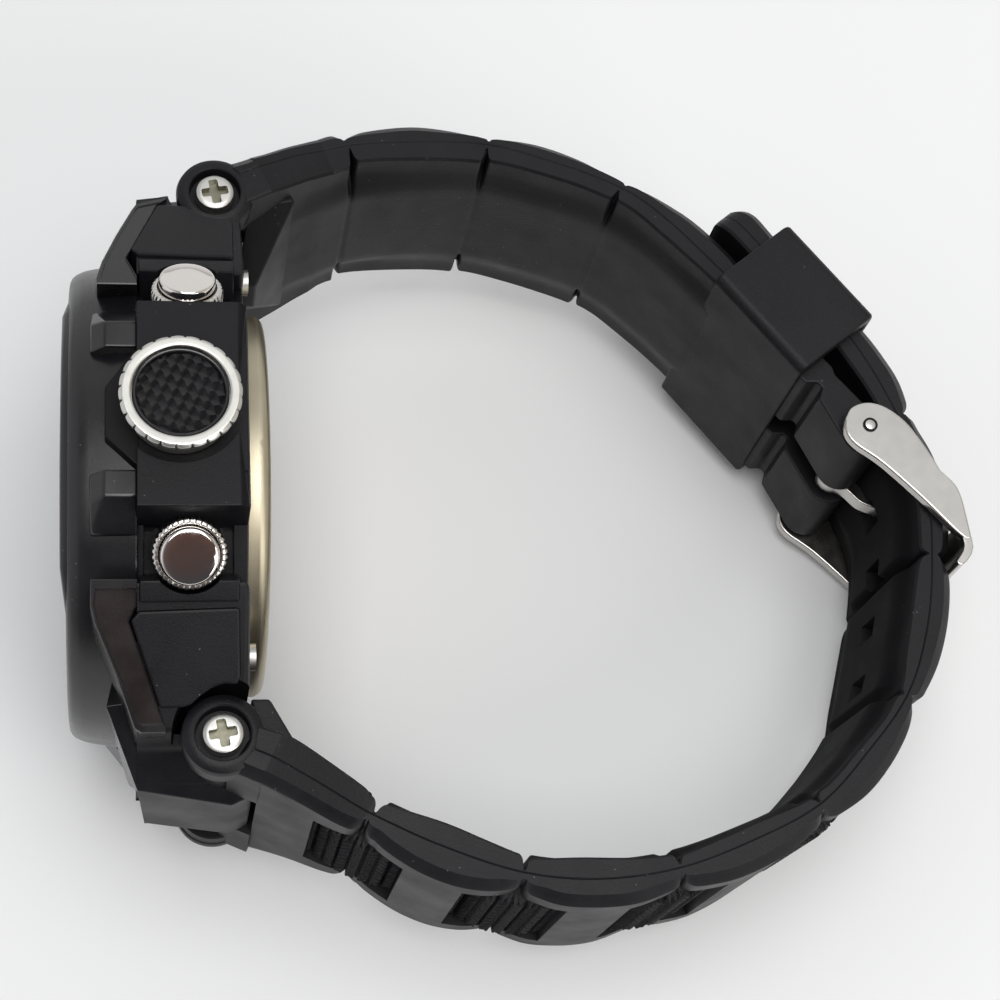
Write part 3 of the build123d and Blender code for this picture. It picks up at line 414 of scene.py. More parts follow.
M_CHAPTER = resin("chapter_look", (0.0120, 0.0120, 0.0140), (0.0220, 0.0220, 0.0250), (0.38, 0.5), 12000, 0.000004)
M_MODULE = resin("module_look", (0.0200, 0.0200, 0.0230), (0.0380, 0.0380, 0.0420), (0.35, 0.5), 9000, 0.000006)
M_WHITE = resin("mark_white_look", (0.62, 0.62, 0.60), (0.76, 0.76, 0.74), (0.35, 0.5), 9000, 0.000003)
M_RED = resin("mark_red_look", (0.36, 0.03, 0.02), (0.50, 0.05, 0.03), (0.35, 0.5), 9000, 0.000003)
M_LCD = resin("lcd_look", (0.20, 0.22, 0.18), (0.27, 0.29, 0.24), (0.12, 0.2), 5000, 0.000001, spec=0.6)
M_SEG = resin("lcd_segment_look", (0.010, 0.012, 0.010), (0.020, 0.022, 0.020), (0.2, 0.3), 5000, 0.000001)
M_BOARD = resin("board_look", (0.008, 0.060, 0.025), (0.015, 0.095, 0.045), (0.25, 0.4), 4000, 0.000008)
M_STEEL = metal("steel_polished_look", (0.70, 0.69, 0.67), (0.80, 0.79, 0.77), (0.10, 0.20), 1400)
M_RING = metal("crown_ring_look", (0.60, 0.595, 0.56), (0.68, 0.67, 0.635), (0.30, 0.38), 1400, bump_h=0.000001)
M_CAP = metal("cap_look", (0.78, 0.74, 0.71), (0.84, 0.79, 0.76), (0.03, 0.09), 900)
M_SCREW = metal("screw_look", (0.54, 0.535, 0.515), (0.63, 0.62, 0.60), (0.34, 0.46), 2600, bump_h=0.000002)
# darker olive metal for the screw recesses: painted shade in the hollow
M_RECESS_SHADE = metal("screw_recess_painted_shade_look", (0.20, 0.195, 0.145), (0.30, 0.29, 0.23), (0.40, 0.54), 2600)
M_BUCKLE = metal("buckle_look", (0.57, 0.55, 0.52), (0.63, 0.61, 0.58), (0.20, 0.27), 900, (1, 1, 0.25), 0.0000005)
M_COLLAR = metal("collar_look", (0.62, 0.60, 0.57), (0.74, 0.72, 0.69), (0.14, 0.26), 1800)
M_BACK = brushed_radial("back_look", (0.45, 0.40, 0.29), (0.54, 0.49, 0.375), (0.34, 0.48))
M_BLACK = resin("deep_black_look", (0.0018, 0.0018, 0.0022), (0.0034, 0.0034, 0.0040), (0.50, 0.64), 9000, 0.000006, spec=0.18)
M_CELL = metal("cell_look", (0.62, 0.62, 0.61), (0.72, 0.72, 0.71), (0.2, 0.3), 1500)
M_BRASS = metal("brass_look", (0.62, 0.46, 0.20), (0.72, 0.56, 0.28), (0.22, 0.34), 1500)
M_COPPER = metal("copper_look", (0.52, 0.24, 0.12), (0.62, 0.32, 0.17), (0.3, 0.42), 6000, (1, 1, 12), 0.00001)
M_SPRING = metal("spring_look", (0.55, 0.55, 0.54), (0.66, 0.66, 0.65), (0.2, 0.3), 1500)
M_GLASS = glass("crystal_look")

NODE_MATS = {
    "case_middle": M_CASE, "bezel": M_BEZEL, "crystal": M_GLASS, "crystal_gasket": M_SEAL, "chapter_ring": M_CHAPTER,
    "dial": M_DIAL, "lcd_panel": M_LCD, "hour_hand": M_WHITE, "minute_hand": M_WHITE, "second_hand": M_RED,
    "movement_holder": M_MODULE, "movement_module": M_MODULE, "motor_coil": M_COPPER, "motor_stator": M_SPRING,
    "circuit_board": M_BOARD, "battery": M_CELL, "battery_clamp": M_SPRING, "quartz_can": M_CELL, "buzzer": M_BRASS,
    "buzzer_spring": M_SPRING, "case_back": M_BACK, "case_back_gasket": M_SEAL, "case_back_screws": M_SCREW,
    "crown_tube": M_SCREW, "crown_shell": M_RING, "crown_inlay": M_INLAY, "crown_stem": M_SCREW, "crown_seal": M_SEAL,
    "pusher_2": M_CAP, "pusher_4": M_CAP, "pusher_8": M_CAP, "pusher_10": M_CAP, "pusher_collars": M_COLLAR,
    "pusher_springs": M_SPRING, "pusher_seals": M_SEAL, "strap_12": M_STRAP, "strap_6": M_STRAP, "lug_tubes": M_SCREW,
    "lug_screws": M_SCREW, "keeper": M_STRAP, "buckle_frame": M_BUCKLE, "buckle_tongue": M_BUCKLE, "buckle_pin": M_SCREW}
for nm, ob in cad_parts.items():
    ob.data.materials.clear()
    ob.data.materials.append(NODE_MATS[nm])
    ob.data.polygons.foreach_set("use_smooth", [True] * len(ob.data.polygons))
    ob.data.set_sharp_from_angle(angle=math.radians(30))

# ====================================================================
# strap
# ====================================================================
KC, KU, KN = np.array([63.23, 17.32]), np.array([0.609, -0.793]), np.array([0.793, 0.609])
LUG = np.array([3.92, 28.13])
PIN = np.array([69.9, 3.6])


def kp(u, n):
    return tuple(KC + KU * u + KN * n)


OUT12 = [
    [(3.9, 31.3), (5.9, 31.7), (9.2, 33.2), (13.0, 35.3), (16.2, 36.7)],
    [(18.1, 36.6), (20, 37.3), (25, 37.95), (30, 37.3), (31.9, 36.7)],
    [(33.3, 36.7), (38, 36.1), (42, 34.6), (46.2, 32.2)],
    [(47.7, 31.5), (50, 30.5), (54, 27.8), (57.6, 24.0), kp(-4, -0.75), kp(4, -0.75)],
]
IN12 = [
    [(3.9, 25.4), (7.6, 27.5), (12.9, 30.4), (17.2, 32.6)],
    [(18.9, 33.6), (22, 33.9), (31.3, 33.9)],
    [(33.1, 33.9), (40, 32.0), (45.3, 29.9)],
    [(46.8, 29.3), (51, 25.6), (54.6, 21.9), kp(-6.5, -3.9), kp(4, -4.2)],
]
AO12 = [(17.35, 36.0), (32.6, 36.25), (46.9, 31.5)]
AI12 = [(18.0, 34.75), (32.25, 35.15), (46.1, 30.6)]
MID12 = [(-1, 27.6), (4, 29.4), (8.5, 31.2), (13, 33.6), (18, 35.3), (26, 35.95), (32.4, 35.75), (38, 34.3), (46.5, 31.05),
         (51.5, 27.2), (56.6, 21.6), kp(-4, -2.45), kp(5, -2.45)]

OUT6 = [
    [(3.9, -31.2), (6.4, -32.3), (10, -33.9), (14, -35.9), (16.1, -36.7)],
    [(17.9, -37.6), (19, -38.7), (22, -40.7), (25, -42.0), (28, -42.6), (30.6, -42.5)],
    [(32.5, -43.2), (35, -44.1), (38, -44.4), (42, -44.2), (45.9, -43.0)],
    [(47.7, -42.7), (50, -42.5), (53, -41.8), (57, -40.0), (61.2, -36.8)],
    [(62.3, -36.4), (66.15, -34.0), (68.75, -31.2), (70.8, -28.0), (71.7, -25.5)],
    [(73.05, -24.1), (75.15, -20.4), (76.6, -15.95), (77.15, -12.5), (77.0, -10.8)],
    [(77.4, -9.2), (78.0, -5), (77.8, -1.6), (76.8, 2.3), (75.7, 4.7)],
    [(75.25, 6.4), (74.5, 9.75), (72.85, 13.1), kp(1.5, 4.85), kp(-7.6, 5.2), kp(-10.9, 5.25), kp(-12.6, 4.5), kp(-13.25, 3.1)],
]
IN6 = [
    [(3.9, -26.6), (7.7, -27.6), (10.5, -28.6), (14, -30.7), (17, -32.7), (17.5, -33.4)],
    [(18.8, -34.2), (24, -36.0), (28, -37.8), (31.1, -39.2)],
    [(32.7, -39.7), (38, -39.8), (45.6, -39.7)],
    [(47.4, -39.5), (50, -38.5), (55, -36.5), (59.9, -34.5)],
    [(61.0, -33.7), (62, -33.0), (65, -30), (68, -26.9), (69.4, -24.9)],
    [(70.4, -23.3), (71.2, -20), (72.4, -15.5), (73.4, -11.6), (73.9, -10.3)],
    [(74.1, -8.9), (74.4, -5), (74.1, -1), (73.1, 2.5), (72.0, 5.2)],
    [(71.4, 6.8), (70.2, 9.4), (68.2, 12.9), kp(0.5, 1.2), kp(-8, 1.28), kp(-11.6, 1.3), kp(-12.4, 1.6)],
]
AO6 = [(17.1, -35.9), (31.6, -41.8), (46.8, -41.8), (61.1, -35.9), (71.4, -24.6), (76.0, -9.9), (74.4, 5.8)]
AI6 = [(17.9, -35.0), (31.7, -40.7), (46.4, -40.5), (60.5, -34.9), (70.3, -24.3), (74.8, -9.7), (72.5, 6.0)]
MID6 = [(-1, -27.5), (3.9, -28.8), (7.2, -29.9), (12, -32.2), (17.5, -35.2), (24, -38.4), (31.6, -41.1), (39, -41.9), (46.6, -41.0),
        (54, -38.5), (60.8, -35.2), (66, -30.3), (70.9, -24.4), (73.8, -17.5), (75.3, -9.8), (75.7, -2), (74.2, 3.5),
        (73.4, 5.9), (71.6, 10.3), (69.0, 15.0), kp(0.5, 2.75), kp(-8, 2.75), kp(-13.5, 2.7)]


class Track:
    """A smooth line with outward normals; points can be read as (s, h) on it."""

    def __init__(self, pts, sign):
        self.p = dense(pts, 40)
        d = np.linalg.norm(np.diff(self.p, axis=0), axis=1)
        self.s = np.concatenate([[0], np.cumsum(d)])
        t = np.gradient(self.p, axis=0)
        t /= np.linalg.norm(t, axis=1)[:, None]
        self.nrm = np.stack([t[:, 1], -t[:, 0]], 1) * sign
        k = np.ones(31) / 31.0
        pad = np.pad(self.nrm, ((15, 15), (0, 0)), mode="edge")
        self.nrm = np.stack([np.convolve(pad[:, i], k, "valid") for i in (0, 1)], 1)
        self.nrm /= np.linalg.norm(self.nrm, axis=1)[:, None]

    def at(self, s):
        p = np.stack([np.interp(s, self.s, self.p[:, i]) for i in (0, 1)], -1)
        n = np.stack([np.interp(s, self.s, self.nrm[:, i]) for i in (0, 1)], -1)
        return p, n / np.linalg.norm(n, axis=-1, keepdims=True)

    def read(self, pt):
        d = np.array(pt) - self.p
        along = np.abs(d[:, 0] * self.nrm[:, 1] - d[:, 1] * self.nrm[:, 0])
        dist = np.linalg.norm(d, axis=1)
        ok = np.where(dist < dist.min() + 0.8)[0]
        i = ok[np.argmin(along[ok])]
        return self.s[i], float(d[i] @ self.nrm[i])


def edge_curve(track, links, apexes, lift=0.0, radius=0.8):
    """(S, H) of one edge of the side face: narrow cuts at the apexes, links with rounded corners."""
    ap = [track.read(a) for a in apexes]
    S, H = [], []
    for k, pts in enumerate(links):
        sh = np.array([track.read(p) for p in pts])
        sh = sh[np.argsort(sh[:, 0])]
        dn = dense(sh, 10) if len(sh) > 2 else sh
        near_ = np.array([0.0, 0.08, 0.16, 0.2, 0.24, 0.3, 0.38, 0.5, 0.65, 0.85, 1.05, 1.25, 1.5])
        g = list(dn[:, 0])
        ends = []
        if k > 0:
            ends.append(ap[k - 1])
            g += list(ap[k - 1][0] + near_)
        if k < len(ap):
            ends.append(ap[k])
            g += list(ap[k][0] - near_)
        g = np.array(sorted(g))
        if k > 0:
            g = g[g >= ap[k - 1][0] - 1e-6]
        if k < len(ap):
            g = g[g <= ap[k][0] + 1e-6]
        h = np.interp(g, dn[:, 0], dn[:, 1]) + lift
        for sa, ha in ends:
            t = np.clip((np.abs(g - sa) - 0.15) / radius, 0, 1)
            f = np.sqrt(1 - (1 - t) ** 2)
            h = ha + (h - ha) * f
        S += list(g)
        H += list(h)
    S, H = np.array(S), np.array(H)
    o = np.argsort(S, kind="stable")
    return S[o], H[o]


def rope(ds, z):
    """Herringbone rib height on a window floor; ds along the strap, z across."""
    pitch = 1.28
    band = np.floor(ds / pitch + 50)
    loc = ds / pitch + 50 - band
    way = np.where(band % 2 == 0, 1.0, -1.0)
    ph = (z + way * (loc - 0.5) * pitch * 1.1) / 0.62
    tri = 1 - np.abs((ph % 1.0) * 2 - 1)
    edge = np.clip(np.minimum(loc, 1 - loc) / 0.18, 0, 1)
    return 0.52 * np.clip(tri * 1.3 - 0.1, 0, 1) * (0.3 + 0.7 * edge) - 0.22 * (1 - edge)


def strap_body(piece, track, out_links, in_links, ao, ai, s0, s1, windows, holes, flare, pad_to, tip=None, pad_from=0.0, lift=(0.0, 0.0),
               groove=False, tuck=((0, 0), (1, 0)), inner_shade_mat=0):
    So, Ho = edge_curve(track, out_links, ao, lift[0], 1.15)
    Si, Hi = edge_curve(track, in_links, ai, lift[1], 0.75 if groove else 0.5)
    bs = [track.read(((a[0] + b[0]) / 2, (a[1] + b[1]) / 2))[0] for a, b in zip(ao, ai)]
    WIN, WZ, RAIL = 4.65, 8.45, 8.62
    rows = set()
    for b in bs:
        for d in (0.0, 0.06, 0.1, 0.16, 0.24, 0.34, 0.46, 0.6, 0.78, 0.98, 1.2, 1.45, 1.75, 2.1, 2.5, 2.9, 3.3, 3.8, 4.3):
            rows.update((b + d, b - d))
    for k in windows:
        for d in np.arange(0, WIN, 0.1):
            rows.update((bs[k] + d, bs[k] - d))
        rows.update((bs[k] + WIN, bs[k] - WIN, bs[k] + WIN + 0.07, bs[k] - WIN - 0.07))
    hole_s = []
    for (hx, hy, half) in holes:
        s, _ = track.read((hx, hy))
        hole_s.append((s - half, s + half))
        rows.update((s - half, s + half))
    rows.update(np.arange(s0, s1, 0.45))
    rows.update((s0, s1))
    rows = np.array(sorted(r for r in rows if s0 - 1e-9 <= r <= s1 + 1e-9))
    keep = [0]
    fixed = set()
    for a, b in hole_s:
        fixed.update((round(a, 6), round(b, 6)))
    for i in range(1, len(rows)):
        if rows[i] - rows[keep[-1]] > 0.03 or round(rows[i], 6) in fixed:
            if round(rows[i], 6) in fixed and rows[i] - rows[keep[-1]] <= 0.03 and round(rows[keep[-1]], 6) not in fixed:
                keep[-1] = i
            else:
                keep.append(i)
    rows = rows[keep]
    n = len(rows)
    ho = np.interp(rows, So, Ho)
    hi = np.interp(rows, Si, Hi)
    # the un-notched outer level and the pad level
    mid_s = [(a + b) / 2 for a, b in zip([s0] + bs, bs + [s1])]
    env_h = [float(np.interp(m, So, Ho)) for m in mid_s]
    pad_h = [float(np.interp(m, Si, Hi)) for m in mid_s]
    env = np.interp(rows, mid_s, env_h)
    padl = np.interp(rows, mid_s, pad_h) - 0.72
    fade = np.clip((rows - pad_from) / 2.0, 0, 1) * np.clip((pad_to - rows) / 2.0, 0, 1)
    padl = np.minimum(hi, padl) * fade + hi * (1 - fade)
    for b in bs:
        if groove:
            padl = padl + (hi - padl) * np.exp(-((rows - b) / 0.75) ** 4)
        else:
            padl = padl + 0.16 * np.exp(-((rows - b) / 0.35) ** 2) * fade
    near = np.min([np.abs(rows - b) for b in bs], axis=0)
    inwin = np.zeros(n, bool)
    for k in windows:
        inwin |= np.abs(rows - bs[k]) < WIN + 0.01
    drop = 1.0 * np.clip((ho - 0.5) / 1.6, 0.12, 1.0)
    w = np.array([flare(float(p[0])) for p in track.at(rows)[0]]) if flare else np.full(n, 12.0)
    if tip is not None:
        t0, tl = tip
        f = np.clip((rows - t0) / tl, 0, 1)
        w = w - 2.2 * (1 - np.sqrt(np.clip(1 - f ** 2, 0, 1)))
    zo = sorted(set(np.round(np.concatenate([np.arange(0, WZ, 0.115), [2.1, WZ, RAIL - 0.09, RAIL, 9.0, 9.6, 10.2, 10.7, 10.95, 11.08, 11.5]]), 4)))
    zo = [z for z in zo if not (2.02 < z < 2.18 and z != 2.1)]
    zi = [0, 2.1, 3.2, 4.6, 6.0, 7.0, 7.6, 8.6, 9.42, 10.2, 11.0, 11.72]
    zo = np.array(sorted([-z for z in zo if z > 0] + list(zo)))
    zi = np.array(sorted([-z for z in zi if z > 0] + list(zi), reverse=True))

    def zmap(z, w_):
        az = np.abs(z)
        k = np.minimum(1, w_ / 12.0)
        mid = 8.62 * k + (az - 8.62) * (w_ - 1.0 - 8.62 * k) / 2.38
        return np.sign(z) * np.where(az <= 8.62, az * k, np.where(az <= 11.0, mid, w_ - (12.0 - az)))

    cols = []                   # each column: z (n), h (n)
    for z in zo:
        az = abs(z)
        if az > 11.01:
            h = ho - drop * (az - 11.0)
        elif az >= RAIL - 0.01:
            h = ho.copy()
        else:
            h = np.where(near < WIN, env, ho)
            h = np.where(near < WIN, np.where(inwin, env, ho), ho)
            if az <= WZ + 0.001:
                wave = 1.0 - (near / WIN) ** 2
                floor = 1.15 + 0.8 * wave + rope(rows - s0, z) * float(np.clip((7.9 - az) / 0.4, 0, 1)) - 0.9 * float(np.clip((az - 7.5) / 0.4, 0, 1))
                h = np.where(inwin, np.minimum(floor, ho.max()), h)
            else:
                h = np.where(inwin, np.minimum(env, np.maximum(ho, 1.2)), h)
        cols.append((zmap(np.full(n, z), w), h))
    nout = len(cols)
    top = ho - drop * 1.0

    def side(sgn):
        res = []
        for hh, dz in ((top, 0.0), (top * 0.55, 0.0), (np.full(n, 0.11), 0.0), (np.full(n, 0.0), -0.09), (np.full(n, -0.11), 0.0),
                       (hi * 0.55, 0.0), (hi + 0.24, 0.0)):
            hh = np.minimum(np.maximum(hh, hi + 0.05), top)
            res.append((sgn * (w + dz), hh))
        return res

    cols += side(1)
    k_in = len(cols)
    for z in zi:
        az = abs(z)
        if az >= 10.1:
            h = hi
        elif az >= 9.3:
            h = hi * 0.86 + padl * 0.14
        elif az >= 8.5:
            h = hi * 0.40 + padl * 0.60
        elif az >= 7.5:
            h = hi * 0.10 + padl * 0.90
        else:
            h = padl
        cols.append((zmap(np.full(n, z), w), h))
    cols += list(reversed(side(-1)))
    m = len(cols)
    P, N = track.at(rows)
    V = np.zeros((n, m, 3))
    for j, (z, h) in enumerate(cols):
        V[:, j, 0] = P[:, 0] + N[:, 0] * h
        V[:, j, 1] = P[:, 1] + N[:, 1] * h
        V[:, j, 2] = z
    # the edge away from the crown side is tucked in a little toward the middle of the loop
    ts = [track.read(p)[0] if isinstance(p, tuple) else p for p, _ in tuck]
    amt = np.interp(rows, ts, [q for _, q in tuck])
    tt = np.clip((w[:, None] - V[:, :, 2]) / (2 * w[:, None]), 0, 1)
    V[:, :, 0] -= N[:, None, 0] * amt[:, None] * tt
    V[:, :, 1] -= N[:, None, 1] * amt[:, None] * tt
    # holes: drop the faces inside and wall them
    gone = set()
    jo0 = int(np.argmin(np.abs(zo + 2.1)))
    jo1 = int(np.argmin(np.abs(zo - 2.1)))
    ji0 = k_in + int(np.argmin(np.abs(zi - 2.1)))
    ji1 = k_in + int(np.argmin(np.abs(zi + 2.1)))
    walls = []
    for a, b in hole_s:
        r0, r1 = int(np.argmin(np.abs(rows - a))), int(np.argmin(np.abs(rows - b)))
        for r in range(r0, r1):
            for j in range(jo0, jo1):
                gone.add((r, j))
            for j in range(ji0, ji1):
                gone.add((r, j))
            walls.append((V[r, jo0], V[r + 1, jo0], V[r + 1, ji1], V[r, ji1]))
            walls.append((V[r, jo1], V[r + 1, jo1], V[r + 1, ji0], V[r, ji0]))
        for r in (r0, r1):
            walls.append((V[r, jo0], V[r, jo1], V[r, ji0], V[r, ji1]))
    faces, ms = [], []
    for r in range(n - 1):
        for j in range(m):
            if (r, j) in gone:
                continue
            jj = (j + 1) % m
            faces.append((r * m + j, r * m + jj, (r + 1) * m + jj, (r + 1) * m + j))
            # inner faces take the inner material; the lower strap uses a darker copy of the resin there as painted
            # shade
            ms.append(inner_shade_mat if k_in <= j < k_in + len(zi) - 1 else 0)
    faces.append(tuple(range(m)))
    faces.append(tuple((n - 1) * m + j for j in reversed(range(m))))
    ms += [0, 0]
    piece.add(V.reshape(-1, 3), faces)
    piece.m[-len(ms):] = ms
    for wq in walls:
        piece.add(np.array(wq), [(0, 1, 2, 3)])
    return rows, bs, (So, Ho, Si, Hi)


def ear_arm(piece, track, curves, s0, s1, flare, z_in, sgn):
    """The arm from the screw boss to the first link: the strap's section beyond z_in."""
    So, Ho, Si, Hi = curves
    boss = np.array([LUG[0], math.copysign(LUG[1], float(track.p[10, 1]))])
    n = 24
    # columns: how far between the inner edge (0) and the outer edge (1), offset in h, z from the side
    spec = [(0, 0, None), (1, 0, None), (1, 0, -1.15), (1, -0.06, -0.98), (1, -0.96, -0.04), (1, -1.1, 0.0), ("m", 0.11, 0.0), ("m", 0.0, -0.09),
            ("m", -0.11, 0.0), (0, 0.3, 0.0), (0, 0.1, -0.1), (0, 0, -0.32)]
    fine = np.linspace(s0, s1, 240)
    Pf, Nf = track.at(fine)
    V = np.zeros((n, len(spec), 3))
    for j, (k, dh, dz) in enumerate(spec):
        def h_at(s_):
            a_, b_ = np.interp(s_, Si, Hi), np.interp(s_, So, Ho)
            return np.zeros_like(a_) + dh if k == "m" else (b_ if k == 1 else a_) + dh
        Q = Pf + Nf * h_at(fine)[:, None]
        d = np.linalg.norm(Q - boss, axis=1)
        hit = np.where(d < 3.3)[0]
        sj = fine[hit[-1]] if len(hit) else fine[int(np.argmin(d))]
        rows = np.linspace(sj, s1, n)
        P, N = track.at(rows)
        h = h_at(rows)
        w = np.array([flare(float(p[0])) for p in P])
        V[:, j, 0] = P[:, 0] + N[:, 0] * h
        V[:, j, 1] = P[:, 1] + N[:, 1] * h
        V[:, j, 2] = sgn * (z_in if dz is None else w + dz)
    m = len(spec)
    fs = [(r * m + j, r * m + (j + 1) % m, (r + 1) * m + (j + 1) % m, (r + 1) * m + j) for r in range(n - 1) for j in range(m)]
    fs.append(tuple(range(m)))
    fs.append(tuple((n - 1) * m + j for j in reversed(range(m))))
    piece.add(V.reshape(-1, 3), fs)


def flare12(x):
    return 12.0 + 3.06 * float(np.clip((17.3 - x) / 8.9, 0, 1)) ** 1.1


def lug_end(piece, sy):
    """Raised ring round each lug screw, and the wing behind the case."""
    cx, cy = LUG[0], sy * LUG[1]
    for sz in (1, -1):
        lathe(piece, [(11.4, 1.1), (11.4, 3.55), (11.55, 3.7), (13.15, 3.72), (13.27, 3.6), (13.36, 3.6), (13.46, 3.84), (14.25, 3.88), (14.7, 3.74),
                      (14.98, 3.36), (15.1, 2.95), (15.12, 2.72), (15.0, 2.58), (13.62, 2.5), (13.55, 1.05), (11.4, 1.05)],
              (cx, cy, 0), (0, 0, sz), 144)
    if sy > 0:
        hull(piece, [(x, sy * y, s_ * z) for s_ in (1, -1) for x, y, z in ((12.2, 28.9, 12.0), (8.6, 23.9, 2.5), (6.62, 24.0, 2.5), (7.3, 28.0, 12.0),
                                                                        (10.4, 32.0, 12.0), (8.6, 31.5, 12.0))], 0.25, 2)
    else:
        wing = [(6.62, -24.0), (8.45, -24.0), (10.7, -28.3), (12.2, -30.9), (10.4, -32.0), (9.5, -31.75), (7.6, -28.0)]
        hull(piece, [(x, y, 12.0) for x, y in wing] + [(x, y + 0.95 * min(1, max(0, (-25.0 - y) / 4.0)), -12.0) for x, y in wing], 0.3, 2)


def wide12(x):
    return max(flare12(x), 12.0 + 0.6 * float(np.clip((54.0 - x) / 12.0, 0, 1)))


st12 = Piece()
T12 = Track(MID12, -1)
s_a = T12.read((8.3, 31.1))[0]
s_b = T12.read(kp(4.2, -2.45))[0]
rows12, bs12, cur12 = strap_body(st12, T12, OUT12, IN12, AO12, AI12, s_a, s_b, (0, 1, 2), (), wide12, s_b - 8.0, pad_from=s_a, lift=(0.25, -0.26),
                                tuck=((0.0, 0.0), ((9.0, 31.5), 0.0), ((14.0, 34.0), 0.45), ((20.0, 35.5), 0.15), ((30.0, 35.8), 0.0)))
lug_end(st12, 1)
for sg_ in (1, -1):
    ear_arm(st12, T12, cur12, 3.0, s_a + 0.05, wide12, 6.5, sg_)
# the end with the barrel round the buckle pin, slotted for the tongue
bar = [(PIN[0] + 2.5 * math.cos(math.radians(d)), PIN[1] + 2.5 * math.sin(math.radians(d))) for d in range(48, -176, -14)]
end_poly = [kp(2.5, -0.72), kp(6.4, -0.72), (67.3, 10.9), (67.5, 10.0), (68.2, 9.2), (70.0, 7.0), (71.1, 5.9)] + bar + \
           [kp(9.3, -4.35), kp(8.6, -3.2), kp(7.9, -3.2), kp(7.1, -4.3), kp(2.5, -4.3)]
for z0, z1 in ((1.75, 11.9), (-11.9, -1.75)):
    prism(st12, end_poly, z0, z1, XY, 0.28, 2)
ob12 = place("strap_upper", st12, [M_STRAP], "case", ("strap_12",), 26)

st6 = Piece()
T6 = Track(MID6, 1)
s_a = T6.read((8.3, -30.4))[0]
s_tip = T6.read(kp(-12.6, 2.75))[0]
holes6 = [(75.7, -0.9, 1.5), (75.4, -7.9, 1.2), (74.4, -14.6, 1.2), (72.1, -21.2, 1.2), (73.2, 6.2, 1.2), (69.8, 12.4, 1.2), (65.6, 17.9, 1.2)]
# the lower strap's inner face gets the darker copy of the resin, painted shade
rows6, bs6, cur6 = strap_body(st6, T6, OUT6, IN6, AO6, AI6, s_a, s_tip, (0, 1, 2, 3), holes6, flare12, s_tip - 15.0, tip=(s_tip - 3.0, 3.0),
                        pad_from=s_a, groove=True,
                        tuck=((0.0, 0.3), ((12.0, -32.2), 0.75), ((20.0, -36.5), 0.9), ((39.0, -41.9), 0.6), ((52.0, -39.2), 0.8), ((60.8, -35.2), 1.1),
                              ((66.0, -30.3), 1.35), ((70.9, -24.4), 1.25), ((75.0, -10.5), 0.8), ((75.6, -3.0), 0.0)), inner_shade_mat=1)
lug_end(st6, -1)
for sg_ in (1, -1):
    ear_arm(st6, T6, cur6, 3.0, s_a + 0.05, flare12, 6.5, sg_)
ob6 = place("strap_lower", st6, [M_STRAP, M_STRAP_IN_SHADE], "case", ("strap_6",), 26)

# ====================================================================
# keeper, buckle, tongue, pin, lug screws
# ====================================================================


def round_rect(hw, hh, r, seg=8, straight=6):
    """Closed loop of a rounded rectangle, counter-clockwise, evenly spread on the sides."""
    out = []
    for cx, cy, a0 in ((hw - r, hh - r, 0), (-hw + r, hh - r, 90), (-hw + r, -hh + r, 180), (hw - r, -hh + r, 270)):
        for k in range(seg + 1):
            a = math.radians(a0 + 90 * k / seg)
            out.append((cx + r * math.cos(a), cy + r * math.sin(a)))
        a = math.radians(a0 + 90)
        ex, ey = cx + r * math.cos(a), cy + r * math.sin(a)
        nx = {0: (-hw + r, hh), 90: (-hw, -hh + r), 180: (hw - r, -hh), 270: (hw, hh - r)}[a0]
        for k in range(1, straight):
            t = k / straight
            out.append((ex + (nx[0] - ex) * t, ey + (nx[1] - ey) * t))
    return out


kee = Piece()
loops = []
for u, dn in ((-6.6, 0.28), (-6.52, 0.12), (-6.32, 0.0), (0, 0.0), (6.32, 0.0), (6.52, 0.12), (6.6, 0.28)):
    loops.append((u, round_rect(5.45 - dn, 14.0 - dn, 1.1 - dn * 0.6)))
for u, dn in ((6.6, 0.22), (6.5, 0.08), (6.3, 0.0), (0, 0.0), (-6.3, 0.0), (-6.5, 0.08), (-6.6, 0.22)):
    loops.append((u, round_rect(4.65 + dn, 12.35 + dn, 0.6 + dn * 0.5)))
pv, pf = [], []
L = len(loops[0][1])
for u, lp in loops:
    for n_, z_ in lp:
        pv.append((*kp(u - 0.3, n_ + 0.68), z_))
K = len(loops)
for i in range(K):
    a, b = i * L, ((i + 1) % K) * L
    for j in range(L):
        jj = (j + 1) % L
        pf.append((a + j, a + jj, b + jj, b + j))
kee.add(pv, pf)
place("keeper_loop", kee, [M_STRAP], "keeper", ("keeper",), 35)

ARM = [(67.4, 4.4), (68.2, 5.6), (69.9, 6.15), (71.9, 5.6), (74.0, 3.7), (75.85, 0.6), (76.8, -1.35), (77.05, -1.6), (78.15, -2.9),
       (78.65, -4.4), (78.9, -6.6), (79.1, -8.7), (78.4, -8.8), (77.15, -7.55), (74.4, -4.35), (70.75, -0.6), (68.1, 1.5), (67.3, 2.9)]
buc = Piece()
arm_s = [tuple(p) for p in dense(ARM[:7], 5)] + [tuple(p) for p in dense(ARM[7:12], 5)] + [tuple(p) for p in dense(ARM[12:] + ARM[:1], 5)][:-1]
for s_ in (1, -1):
    lo, hi = (12.45, 13.65) if s_ > 0 else (-13.65, -12.45)
    prism(buc, arm_s, lo, hi, XY, 0.22, 3, min_angle=0.9)
HOOK = [(78.12, -6.85), (78.72, -6.75), (78.88, -7.9), (79.12, -8.7), (79.15, -9.6), (78.85, -10.4), (78.3, -11.1), (77.75, -11.55), (77.35, -11.5),
        (77.15, -11.15), (77.6, -10.6), (78.0, -10.05), (78.2, -9.4), (78.15, -8.7)]
prism(buc, HOOK, -13.6, 13.6, XY, 0.14, 2, min_angle=0.2)
place("buckle_loop", buc, [M_BUCKLE], "buckle_frame", ("buckle_frame",), 35)

